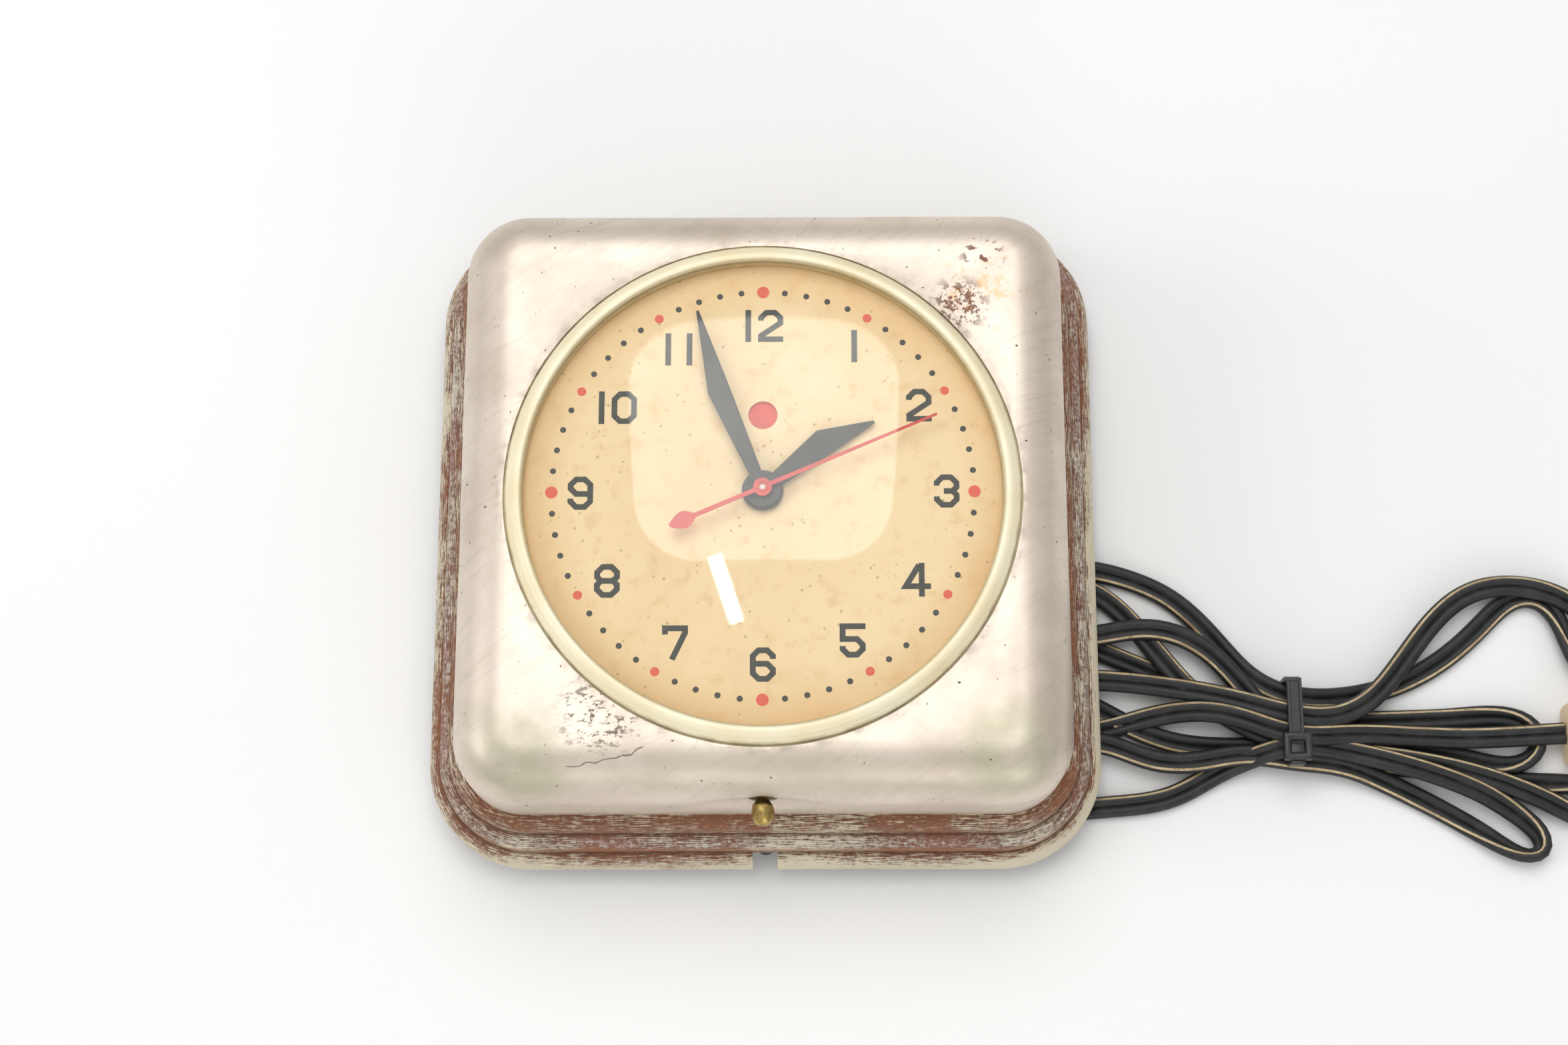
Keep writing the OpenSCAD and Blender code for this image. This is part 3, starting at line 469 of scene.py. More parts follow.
def leafRecipe(light, dark, axis, pitch):  # sheet after sheet, or turn after turn of wire
    def recipe(start, place):
        layers = start.sum("PINGPONG", place.part(axis), pitch * mm) * (1 / (pitch * mm))
        cloud = place.specks(240, 4.0)
        tone = start.blended(layers.between(0.1, 0.9), dark, light)
        tone = start.blended(cloud.between(0.5, 0.8) * 0.5, tone, dark)
        return {"Base Color": tone, "Roughness": 0.36 + cloud * 0.25,
                "Normal": relief(start, layers, 0.5, pitch * mm * 0.6)}
    return recipe


def cordRecipe(start, place):  # u runs along the cord in mm, v once round it
    mapped = start.add("UVMap", {"uv_map": "roundCord"}, {})
    v = mapped.part("Y")
    drift = mapped.stretched(0.02, 0, 0).specks(3.0, 2.0)
    line = 1 - (v - 0.283 - drift * 0.03).size().between(0.014, 0.022)
    cloud = place.specks(160, 5.0, 0.65)
    dust = place.specks(700, 4.0, 0.7)
    tone = start.blended(cloud.between(0.4, 0.75), (0.010, 0.011, 0.012, 1), (0.028, 0.028, 0.027, 1))
    groove = (v - 0.458).size().least((v - 0.958).size())
    soil = (1 - groove.between(0.01, 0.05)) * cloud.between(0.4, 0.7)
    tone = start.blended(soil * 0.5, tone, (0.10, 0.08, 0.05, 1))
    tracer = start.blended(cloud.between(0.35, 0.7), (0.62, 0.49, 0.29, 1), (0.40, 0.29, 0.15, 1))
    tone = start.blended(line * (0.55 + dust.between(0.3, 0.5) * 0.45), tone, tracer)
    return {"Base Color": tone, "Roughness": 0.42 + cloud * 0.2 + soil * 0.2,
            "Normal": relief(start, dust * 0.6 + cloud * 0.4, 0.12, 0.0001)}


slotFinish = {
    "worn_nickel": finish("wornNickel", nickelRecipe),
    "worn_paint": finish("wornPaint", oldPaintRecipe),
    "bezel_plastic": finish("agedBezelPlastic", bezelRecipe, Coat_Weight=0.35, Coat_Roughness=0.18),
    "dial_paint": finish("agedDialPaint", dialRecipe),
    "plain_steel": finish("zincedSteel", plainRecipe((0.46, 0.45, 0.43, 1), (0.30, 0.29, 0.27, 1), 0.9, 0.4,
                                                     speck=(0.20, 0.13, 0.08, 1))),
    "back_paint": finish("backCoverPaint", plainRecipe((0.075, 0.07, 0.066, 1), (0.045, 0.042, 0.04, 1),
                                                       0.1, 0.5, speck=(0.16, 0.09, 0.05, 1))),
    "black_rubber": finish("blackRubber", plainRecipe((0.025, 0.025, 0.025, 1), (0.05, 0.048, 0.045, 1),
                                                      0, 0.62)),
    "plate_brass": finish("plateBrass", brassRecipe((0.66, 0.50, 0.22, 1), (0.46, 0.32, 0.13, 1))),
    "gear_brass": finish("gearBrass", brassRecipe((0.72, 0.55, 0.25, 1), (0.52, 0.37, 0.15, 1), 1500)),
    "core_iron": finish("coreSheets", leafRecipe((0.33, 0.32, 0.31, 1), (0.09, 0.085, 0.08, 1), "Z", 0.35),
                        Metallic=0.8),
    "bobbin_fibre": finish("bobbinFibre", plainRecipe((0.36, 0.22, 0.10, 1), (0.24, 0.13, 0.06, 1),
                                                     0, 0.6, 400)),
    "coil_copper": finish("coilWire", leafRecipe((0.55, 0.20, 0.07, 1), (0.16, 0.05, 0.02, 1), "X", 0.12),
                          Metallic=0.85),
    "can_metal": finish("rotorCan", brassRecipe((0.62, 0.58, 0.50, 1), (0.44, 0.40, 0.33, 1))),
    "red_hand": finish("redHandPaint", handRecipe((0.72, 0.075, 0.075, 1), (0.55, 0.10, 0.09, 1), 0.4)),
    "black_hand": finish("blackHandPaint", handRecipe((0.030, 0.034, 0.037, 1), (0.075, 0.08, 0.082, 1),
                                                      0.42)),
    "knob_brass": finish("wornKnobBrass", brassRecipe((0.55, 0.40, 0.13, 1), (0.20, 0.13, 0.045, 1))),
    "flag_red": finish("flagRed", flagRecipe),
    "cord_rubber": finish("cordRubber", cordRecipe),
    "tie_nylon": finish("tieNylon", plainRecipe((0.018, 0.018, 0.02, 1), (0.03, 0.03, 0.032, 1),
                                               0, 0.38, 300, 0.08)),
    "plug_plastic": finish("plugPlastic", plainRecipe((0.80, 0.63, 0.40, 1), (0.70, 0.50, 0.28, 1),
                                                      0, 0.42, 120, speck=(0.45, 0.28, 0.13, 1))),
}
blackPrint = finish("blackPrint", printRecipe((0.035, 0.042, 0.042, 1), (0.16, 0.14, 0.10, 1)))
redPrint = finish("redPrint", printRecipe((0.80, 0.12, 0.085, 1), (0.80, 0.36, 0.22, 1)))


def glassFinish():
    material = bpy.data.materials.new("crystalGlass")
    material.use_nodes = True
    tree = material.node_tree
    start = Wire(tree)
    shader = tree.nodes["Principled BSDF"]
    shader.inputs["Base Color"].default_value = (1, 1, 1, 1)
    shader.inputs["Metallic"].default_value = 1
    shader.inputs["Roughness"].default_value = 0.035
    clear = start.add("BsdfTransparent", {}, {"Color": (0.985, 0.975, 0.95, 1)})
    place = start.add("TexCoord", {}, {}, 3)
    haze = place.specks(60, 4.0).between(0.4, 0.8) * 0.008
    slant = start.add("LayerWeight", {}, {"Blend": 0.5}, 1)
    share = slant * slant * slant * slant * slant * 0.9 + 0.03 + haze
    mixed = start.add("MixShader", {}, {0: share, 1: clear, 2: Wire(tree, shader.outputs[0])})
    tree.links.new(mixed.socket, tree.nodes["Material Output"].inputs["Surface"])
    return material


slotFinish["crystal_glass"] = glassFinish()
for entry in frame["record"]["subparts"]:
    cadMesh = frame["nodes"][entry["node"]].data
    cadMesh.materials.clear()
    cadMesh.materials.append(slotFinish[entry["material_slot"]])
print("clock: finishes are mixed")


# the table, the light and the camera

alone(None)
bpy.ops.mesh.primitive_plane_add(size=9, location=(0, 0, 0))
tableTop = begin("tableTop")
tableTop.data.materials.append(finish("paleTable", lambda start, place: {"Base Color": start.blended(
    place.specks(3, 2.0).between(0.3, 0.7), (0.90, 0.90, 0.90, 1), (0.93, 0.93, 0.925, 1))}, Roughness=0.75))

world = bpy.data.worlds.new("paleRoom")
world.use_nodes = True
room = Wire(world.node_tree)
skyHeight = room.add("TexCoord", {}, {}, 0).part("Z").between(-0.1, 0.75)
skyTone = room.blended(skyHeight, (0.30, 0.30, 0.30, 1), (0.62, 0.615, 0.605, 1))
glow = room.add("Background", {}, {"Color": skyTone})
world.node_tree.links.new(glow.socket, world.node_tree.nodes["World Output"].inputs["Surface"])
bpy.context.scene.world = world
bpy.context.scene.view_settings.view_transform = "Standard"


def softbox(name, place, aim, width, depth, power):
    lamp = bpy.data.lights.new(name, "AREA")
    lamp.shape = "RECTANGLE"
    lamp.size = width
    lamp.size_y = depth
    lamp.energy = power
    holder = bpy.data.objects.new(name, lamp)
    bpy.context.scene.collection.objects.link(holder)
    holder.location = place
    holder.rotation_euler = (Vector(aim) - Vector(place)).to_track_quat("-Z", "Y").to_euler()
    return holder


windowSize = {"half": 0.44, "corner": 0.22, "place": (-0.02, 0.50, 1.25), "glow": 3.3}
alone(None)
bpy.ops.mesh.primitive_plane_add(size=2 * windowSize["half"])
windowPanel = bpy.context.active_object
windowPanel.name = "overheadPanel"
editAll(windowPanel)
bpy.ops.mesh.bevel(offset=windowSize["corner"], affect="VERTICES", segments=10)
bpy.ops.object.mode_set(mode="OBJECT")
facing = (Vector((windowSize["place"][0], 0, 0.06)) - Vector(windowSize["place"])).to_track_quat("Z", "Y")
windowPanel.data.transform(Matrix.Translation(windowSize["place"]) @ facing.to_matrix().to_4x4())
windowPanel.data.materials.append(finish("panelGlow", lambda start, place: {}, Base_Color=(0, 0, 0, 1),
                                         Emission_Color=(1, 1, 1, 1), Emission_Strength=windowSize["glow"]))
softbox("stripLamp", (-0.132, -0.01, 1.25), (-0.132, -0.01, 0), 0.045, 0.22, 0.55).rotation_euler.z = 0.32
softbox("leftFill", (-1.6, -0.2, 1.0), (0, 0, 0), 1.0, 1.2, 8)
softbox("frontFill", (0.4, -1.7, 0.8), (0, 0, 0), 1.6, 0.8, 7)

shot = {"lens": 59.975, "place": (10.87, -171.03, 662.65),
        "ahead": (-0.00916702, 0.26031183, -0.96548108), "up": (0.00267284, 0.96552458, 0.26029818)}
cameraData = bpy.data.cameras.new("studioCamera")
cameraData.lens = shot["lens"]
cameraData.sensor_width = 36
camera = bpy.data.objects.new("studioCamera", cameraData)
bpy.context.scene.collection.objects.link(camera)
ahead = Vector(shot["ahead"]).normalized()
rightWay = ahead.cross(Vector(shot["up"])).normalized()
turnedBy = Matrix((rightWay, rightWay.cross(ahead), -ahead)).transposed()
camera.matrix_world = Matrix.Translation(Vector(shot["place"]) * mm) @ turnedBy.to_4x4()
bpy.context.scene.camera = camera
print("clock: table, lights and camera are set")


# the flat twin cord, its tie and its plug

cord = {"width": 5.6, "thick": 2.9, "spacing": 2.2, "ease": 5}
cordRoute = [  # x, y, z and roll in degrees; it leaves under the rim and is laid in nine passes
    (51.5, -11.9, 12, 0), (54.5, -12.6, 11.6, 0), (58, -13.3, 9.8, 0), (61.5, -14.2, 7.2, 0),
    (65, -15.2, 4.8, 0), (68.5, -17, 2.6, 0), (76, -22.5, 1.5, 0), (86, -27.5, 1.5, 0), (97, -32, 1.5, 0),
    (110, -38, 1.5, 0), (122, -44, 1.8, 0), (134, -47, 2.6, 0), (146, -46.5, 1.8, 0), (160, -46, 1.5, 0),
    (176, -45.5, 1.5, 0), (189, -44.5, 1.5, 20), (197.5, -47.5, 2.4, 60), (199, -53, 2.8, 80),
    (194, -57.5, 2.4, 60), (188, -58.5, 1.7, 20), (176, -55, 1.5, 0), (160, -53, 1.5, 0),
    (146, -51, 1.8, 0), (134, -50.5, 5.5, 0), (124, -40, 4.4, 0), (115, -29, 4.4, 0), (105, -23, 4.4, 0),
    (95, -22, 4.4, 0), (84, -24.5, 4.4, 0), (75, -24.5, 4.4, 0), (69, -21, 4.8, 40), (69, -15, 5, 60),
    (74, -11, 4.4, 40), (83, -10.5, 2.4, 0), (92, -17, 1.5, 0), (101, -29, 3.6, 0), (110, -40, 4.4, 0),
    (121, -47, 4.4, 0), (134, -53, 5.5, 0), (148, -54.5, 4.4, 0), (164, -56.5, 4.4, 0), (180, -60, 4.4, 0),
    (194, -65, 4.2, 0), (206, -71, 3.2, 20), (213, -74, 2.8, 60), (218, -71.5, 2.8, 85),
    (217, -66, 2.8, 85), (211, -63, 2.6, 50), (203, -62.3, 1.8, 10), (190, -62, 1.5, 0), (176, -59, 1.5, 0),
    (160, -57.5, 1.5, 0), (146, -55, 1.8, 0), (134, -53, 2.6, 0), (120, -53, 1.5, 0), (105, -52, 1.5, 0),
    (94, -48, 1.5, 0), (84, -42, 1.5, 0), (70, -38, 1.5, 0), (54, -42, 1.5, 0), (47, -53, 1.5, 0),
    (53, -65, 1.5, 0), (70, -69, 1.5, 0), (86, -68, 1.5, 0), (103, -66, 1.5, 0), (117, -58, 2, 0),
    (125, -55.5, 5, 0), (134, -52.8, 8.4, 0), (146, -54, 5.5, 0), (160, -57.5, 6.6, 0), (172, -61, 5.5, 0),
    (183, -65.5, 4.4, 0), (192, -71.5, 3.4, 30), (198.5, -77.5, 3, 65), (197.5, -82, 2.9, 85),
    (192, -82, 2.8, 70), (186, -78, 2.2, 30), (175, -71, 1.6, 0), (160, -63, 1.6, 0), (146, -57.5, 4.0, 0),
    (134, -57, 5.5, 0), (122, -54.5, 4.4, 0), (110, -57.2, 4.4, 0), (98, -57, 4.4, 0), (86, -51.5, 4.4, 0),
    (74, -52, 4.4, 0), (63, -50, 4.4, 20), (58.5, -43.5, 4.4, 40), (64, -37, 4.4, 20), (78, -35.5, 4.4, 0),
    (90, -36, 4.4, 0), (103, -37.5, 4.4, 0), (118, -40.5, 6, 0), (134, -45.5, 8.4, 0), (146, -46, 7.0, 0),
    (155, -41, 6.5, 0), (163, -31.5, 5, 0), (172, -20, 4.4, 0), (182, -12.2, 4.4, 0), (196, -11.0, 4.4, 0),
    (208, -15.2, 4.2, 20), (215, -23, 3, 50), (217.5, -31, 2.8, 80), (214, -37, 2.8, 85),
    (208.5, -35, 2.8, 85), (206.5, -27, 2.6, 50), (205, -19, 2.5, 20), (200, -12.5, 2.2, 0),
    (193, -13, 1.5, 0), (186, -20, 1.5, 0), (176, -29, 1.5, 0), (164, -36, 1.5, 0), (150, -40, 2.6, 0),
    (134, -40.5, 5.5, 0), (124, -35, 3, 0), (115, -23.5, 1.5, 0), (105, -13.5, 1.5, 0), (92, -7.8, 1.5, 0),
    (80, -5.5, 1.5, 0), (66, -10, 1.5, 0), (58.5, -24, 1.5, 0), (62, -40, 4.4, 0), (74, -49, 6.4, 0),
    (86, -48.5, 1.5, 0), (100, -44.5, 3, 0), (114, -44, 6.6, 0), (124, -47, 7.6, 0), (134, -51, 8.4, 0),
    (150, -50, 6, 0), (165, -50.5, 4.6, 0), (180, -51, 4.6, 0), (192, -50.5, 5.2, 0), (203, -50, 6, 0)]


def smoothRoute(points, spacing, ease):  # an even, eased run of points through the given ones
    ends = [Vector(points[0]) * 2 - Vector(points[1])] + [Vector(p) for p in points]
    ends.append(ends[-1] * 2 - ends[-2])
    fine = []
    for p0, p1, p2, p3 in zip(ends, ends[1:], ends[2:], ends[3:]):
        steps = [0]
        for a, b in ((p0, p1), (p1, p2), (p2, p3)):
            steps.append(steps[-1] + math.sqrt((b.xyz - a.xyz).length))
        t0, t1, t2, t3 = steps
        for k in range(12):
            t = t1 + (t2 - t1) * k / 12
            a1 = (p0 * (t1 - t) + p1 * (t - t0)) / (t1 - t0)
            a2 = (p1 * (t2 - t) + p2 * (t - t1)) / (t2 - t1)
            a3 = (p2 * (t3 - t) + p3 * (t - t2)) / (t3 - t2)
            b1 = (a1 * (t2 - t) + a2 * (t - t0)) / (t2 - t0)
            b2 = (a2 * (t3 - t) + a3 * (t - t1)) / (t3 - t1)
            fine.append((b1 * (t2 - t) + b2 * (t - t1)) / (t2 - t1))
    fine.append(Vector(points[-1]))
    for _ in range(2):
        even = [fine[0]]
        left = spacing
        for a, b in zip(fine, fine[1:]):
            span = (b.xyz - a.xyz).length
            while span >= left and span > 0:
                a = a.lerp(b, left / span)
                even.append(a)
                span = (b.xyz - a.xyz).length
                left = spacing
            left -= span
        even[-1] = fine[-1]
        if (even[-1].xyz - even[-2].xyz).length < spacing / 2:
            even.pop(-2)
        for _ in range(ease):
            eased = [(a + b * 2 + c) / 4 for a, b, c in zip(even[1:], even[2:], even[3:])]
            even = even[:2] + eased + even[-1:]
        fine = even
    return fine


def twinSection(width, thick, sides=11):  # two round cores side by side with a groove above and below
    lobe = thick / 2
    reach = width / 2 - lobe
    section = []
    for side in (1, -1):
        for number in range(sides):
            angle = math.radians(-146 + 292 * number / (sides - 1))
            section.append((side * (reach + lobe * math.cos(angle)), side * lobe * math.sin(angle)))
        section.append((0.0, side * lobe * 0.42))
    return section


route = smoothRoute(cordRoute, cord["spacing"], cord["ease"])
section = twinSection(cord["width"], cord["thick"])
rounds = len(section)
mesh = bmesh.new()
uvMap = mesh.loops.layers.uv.new("roundCord")
rings = []
travel = [0.0]
for a, b in zip(route, route[1:]):
    travel.append(travel[-1] + (b.xyz - a.xyz).length)
for number, point in enumerate(route):
    forward = (route[min(number + 1, len(route) - 1)].xyz - route[max(number - 1, 0)].xyz).normalized()
    sideways = Vector((0, 0, 1)).cross(forward).normalized()
    upward = forward.cross(sideways)
    roll = math.radians(point.w)
    across = sideways * math.cos(roll) + upward * math.sin(roll)
    over = forward.cross(across)
    ring = [point.xyz + across * x + over * y for x, y in section]
    lift = Vector((0, 0, max(0, 0.03 - min(spot.z for spot in ring))))  # the table holds it up
    rings.append([mesh.verts.new((spot + lift) * mm) for spot in ring])
for number, (near, far) in enumerate(zip(rings, rings[1:])):
    for side in range(rounds):
        after = (side + 1) % rounds
        face = mesh.faces.new((near[side], near[after], far[after], far[side]))
        spots = ((number, side), (number, side + 1), (number + 1, side + 1), (number + 1, side))
        for loop, (step, turn) in zip(face.loops, spots):
            loop[uvMap].uv = (travel[step], turn / rounds)
mesh.faces.new(list(reversed(rings[0])))
mesh.faces.new(rings[-1])
bmesh.ops.recalc_face_normals(mesh, faces=mesh.faces)
cordData = bpy.data.meshes.new("mainsCord")
mesh.to_mesh(cordData)
mesh.free()
mainsCord = bpy.data.objects.new("mainsCord", cordData)
bpy.context.scene.collection.objects.link(mainsCord)
close(mainsCord, "root_case", "cord_rubber", 70)
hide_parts("cord_lead", "cord_hank")
print("clock: the cord is", round(travel[-1]), "mm long")

tie = {"x": 134, "wide": 3.7, "thick": 1.2, "low": (-58.4, 0.0), "high": (-35.6, 11.2), "round": 3.4,
       "head": ((130.4, -57.9, 11.0), (137.6, -50.9, 13.5)),
       "pawl": ((132.3, -56.0, 11.6), (135.7, -53.4, 12.7)),
       "neck": ((132.15, -51.2, 10.9), (135.85, -36.6, 11.65)),
       "tail": ((132.1, -58.9, 8.6), (135.9, -57.8, 12.4))}


def strapLoop():
    alone(None)
    middle = [(a + b) / 2 for a, b in zip(tie["low"], tie["high"])]
    spans = [b - a for a, b in zip(tie["low"], tie["high"])]
    bpy.ops.mesh.primitive_plane_add(size=mm)
    loop = begin("tieStrap")
    editAll(loop)
    bpy.ops.transform.resize(value=(spans[0], spans[1], 1))
    bpy.ops.mesh.bevel(offset=tie["round"] * mm, affect="VERTICES", segments=7)
    bpy.ops.mesh.select_all(action="SELECT")
    stepIn(tie["thick"])
    bpy.ops.mesh.delete(type="FACE")
    bpy.ops.mesh.select_all(action="SELECT")
    climb(tie["wide"])
    heal()
    bpy.ops.object.mode_set(mode="OBJECT")
    loop.data.transform(Matrix(((0, 0, 1, 0), (1, 0, 0, 0), (0, 1, 0, 0), (0, 0, 0, 1))))
    loop.data.transform(Matrix.Translation(Vector((tie["x"] - tie["wide"] / 2, middle[0], middle[1])) * mm))
    return loop


tieStrap = strapLoop()
tieHead = block("tieHead", *tie["head"])
editAll(tieHead)
pickFaces(tieHead, lambda at, way: way.z > 0.9)
stepIn(1.5)
stepIn(0.3, -0.5)
climb(-1.1)
softEdges(tieHead, 0.5, 0.6, 3)
pawl = block("tiePawl", *tie["pawl"])
editAll(pawl)
pickFaces(pawl, lambda at, way: way.y > 0.9)
bpy.ops.transform.translate(value=(0, 0, -0.5 * mm))
addModifier(pawl, "BEVEL", width=0.2 * mm, segments=2)
neck = block("tieNeck", *tie["neck"])
editAll(neck)
pickFaces(neck, lambda at, way: way.z > 0.9)
stepIn(0.7)
stepIn(0.15, -0.25)
tail = block("tieTail", *tie["tail"])
addModifier(tail, "BEVEL", width=0.3 * mm, segments=2)
cableTie = joined("cableTie", tieStrap, tieHead, pawl, neck, tail)
close(cableTie, "root_case", "tie_nylon")
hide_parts("cable_tie")

plug = {"low": (203.2, -58.5, 0.05), "high": (225, -41.5, 12), "tail": (203.2, -50, 6),
        "taper": (1, 0.92, 0.8), "edge": 1.7, "ribs": 5, "ribStep": 2.6, "ribWide": 1.1}
mainsPlug = block("mainsPlug", plug["low"], plug["high"])
editAll(mainsPlug)
pickFaces(mainsPlug, lambda at, way: way.x < -0.9)
bpy.ops.transform.resize(value=plug["taper"], center_override=[a * mm for a in plug["tail"]])
bpy.ops.mesh.select_mode(type="EDGE")
bpy.ops.mesh.select_all(action="SELECT")
bpy.ops.mesh.bevel(offset=plug["edge"] * mm, segments=5, affect="EDGES")
ribStarts = [207 + plug["ribStep"] * number for number in range(plug["ribs"])]
cutAway(mainsPlug, *[block("gripCut", (x, y, -1), (x + plug["ribWide"], y + 2.2, 14))
                     for x in ribStarts for y in (-60.2, -42.2)])
cutAway(mainsPlug, block("partingLine", (200, -59, 5.85), (230, -58.25, 6.15)))
softEdges(mainsPlug, 0.22, 0.7)
close(mainsPlug, "root_case", "plug_plastic")
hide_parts("plug_body")

print("clock: cord, tie and plug are laid")


# the pressed cases

def roundedSheet(name, half, radius, z, cornerCuts, sideCuts):  # a flat rounded square
    alone(None)
    bpy.ops.mesh.primitive_plane_add(size=2 * half * mm, location=(0, 0, z * mm))
    piece = begin(name)
    editAll(piece)
    bpy.ops.mesh.bevel(offset=radius * mm, affect="VERTICES", segments=cornerCuts)
    pickEdges(piece, lambda a, b: (a - b).length > half)
    bpy.ops.mesh.subdivide(number_cuts=sideCuts)
    pickFaces(piece, lambda at, way: True)
    return piece


def stackSteps(count, height, tread, steps):
    for _ in range(count):
        climb(height - tread)
        shoulder(tread, steps)


cover = {"half": 74.25, "corner": 15.8, "edge": 13, "low": 31, "top": 58.5, "sheet": 0.9, "opening": 62.6,
         "hole": 3.8, "holeZ": 47.03, "dent": 1.7, "dentWide": 21, "dentHigh": 6.5}
coverShell = roundedSheet("coverShell", cover["half"], cover["corner"], cover["low"], 14, 64)
wall = cover["top"] - cover["edge"] - cover["low"]
for _ in range(8):
    climb(wall / 8)
shoulder(cover["edge"], 16)
pickFaces(coverShell, lambda at, way: way.z < -0.9)
bpy.ops.mesh.delete(type="FACE")
bpy.ops.object.mode_set(mode="OBJECT")
for vertex in coverShell.data.vertices:  # the dip round the knob, and the unevenness of old sheet
    x, y, z = vertex.co / mm
    if y < -60:
        away = math.hypot(x / cover["dentWide"], (z - cover["holeZ"] + 1.5) / cover["dentHigh"])
        if away < 1:
            vertex.co.y += cover["dent"] * mm * (math.cos(math.pi * away) + 1) / 2
    vertex.co += Vector((x, y, 0)).normalized() * 0.12 * mm * noise.noise(Vector((x, y, z)) / 34)
    if z < cover["low"] + 0.01:
        vertex.co.z = cover["low"] * mm
addModifier(coverShell, "SOLIDIFY", thickness=cover["sheet"] * mm, offset=-1, use_even_offset=True)
knobHole = drum("knobHole", cover["hole"], -4, 4, sides=48)
shift(knobHole, (0, -cover["half"], cover["holeZ"]), (math.pi / 2, "X"))
cutAway(coverShell, drum("openingCut", cover["opening"], 44, 64, sides=192), knobHole)
softEdges(coverShell, 0.3)
close(coverShell, "root_case", "worn_nickel", 40)
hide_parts("front_cover")
print("clock: the cover is pressed")

pan = {"half": 84.5, "corner": 26.05, "low": 7, "rise": 8, "tread": 3.4, "sheet": 0.9, "hole": 37,
       "notch": 3.1, "notchIn": -81.15}
panShell = roundedSheet("panShell", pan["half"], pan["corner"], pan["low"], 18, 24)
stackSteps(3, pan["rise"], pan["tread"], 6)
stepIn(3)
pickFaces(panShell, lambda at, way: way.z < -0.9)
bpy.ops.mesh.delete(type="FACE")
addModifier(panShell, "SOLIDIFY", thickness=pan["sheet"] * mm, offset=-1, use_even_offset=True)
cutAway(panShell, drum("panHole", pan["hole"], 28, 34),
        block("rimNotch", (-pan["notch"], -90, 5), (pan["notch"], pan["notchIn"], 15.2)))
softEdges(panShell, 0.32, 0.9, 3)


def mapAlongEdge(piece, half, corner, low):  # u follows the outline and v climbs the steps, both in mm
    layer = piece.data.uv_layers.new(name="alongEdge")
    inner = half - corner
    for polygon in piece.data.polygons:
        middle = polygon.center / mm
        quarter = int(((math.atan2(middle.y, middle.x) + math.pi / 4) % (2 * math.pi)) // (math.pi / 2))
        for number in polygon.loop_indices:
            spot = piece.data.vertices[piece.data.loops[number].vertex_index].co / mm
            x, y = spot.xy
            for _ in range(quarter):
                x, y = y, -x
            along = y
            beyond = abs(y) - inner
            out = x - inner
            if beyond > 0:
                along = math.copysign(inner + math.atan2(beyond, max(out, 0.01)) * corner, y)
                out = math.hypot(beyond, max(out, 0))
            layer.data[number].uv = (along + quarter * 170, corner - out + spot.z - low)


mapAlongEdge(panShell, pan["half"], pan["corner"], pan["low"])
close(panShell, "root_case", "worn_paint", 40)
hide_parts("back_pan")
print("clock: the stepped pan is pressed")

bezelProfile = [(57.75, 56.7), (63.6, 56.7), (63.6, 57.2), (62.0, 57.25), (62.0, 58.9), (61.85, 59.5),
                (61.3, 60.0), (60.95, 60.35), (60.5, 61.0), (59.9, 61.38), (59.2, 61.5), (58.5, 61.42),
                (57.95, 61.2), (57.75, 60.95), (57.75, 60.86), (58.45, 60.86), (58.45, 59.2), (57.75, 59.2),
                (57.75, 56.7)]
bezelRing = turned("bezelRing", bezelProfile, 160)
softEdges(bezelRing, 0.12, 0.7)
close(bezelRing, "root_case", "bezel_plastic", 50)
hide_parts("bezel_ring")

glass = {"radius": 58.4, "edge": 60.82, "apex": 68.2, "thick": 1.6, "rings": 22}


def glassProfile():
    rise = glass["apex"] - glass["edge"]
    ball = (glass["radius"] ** 2 + rise ** 2) / (2 * rise)
    outer = []
    inner = []
    for step in range(glass["rings"] + 1):
        r = glass["radius"] * step / glass["rings"]
        top = glass["apex"] - ball + math.sqrt(ball ** 2 - r ** 2)
        outer.append((r, top))
        inner.append((r * 0.996, top - glass["thick"]))
    inner[0] = (0, glass["apex"] - glass["thick"])
    return outer + list(reversed(inner))


crystalDome = turned("crystalDome", glassProfile(), 128)
close(crystalDome, "root_case", "crystal_glass", 40)
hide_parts("crystal")
print("clock: bezel and crystal are turned")

# the dial and its print

face = {"low": 56.1, "top": 56.7, "radius": 63.5, "hole": 3.2, "markY": 19.4, "markHole": 3.55, "ink": 0.035,
        "dotRing": 51, "dots": {"quarter": 1.5, "five": 1.1, "minute": 0.74}}
dialSheet = turned("dialSheet", [(face["hole"], face["low"]), (face["hole"], face["top"]),
                                 (face["radius"] - 0.3, face["top"]), (face["radius"], face["top"] - 0.3),
                                 (face["radius"], face["low"]), (face["hole"], face["low"])], 144)
cutAway(dialSheet, drum("markHole", face["markHole"], 55, 58, (0, face["markY"])))
softEdges(dialSheet, 0.12)
close(dialSheet, "root_case", "dial_paint", 40)
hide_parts("dial")

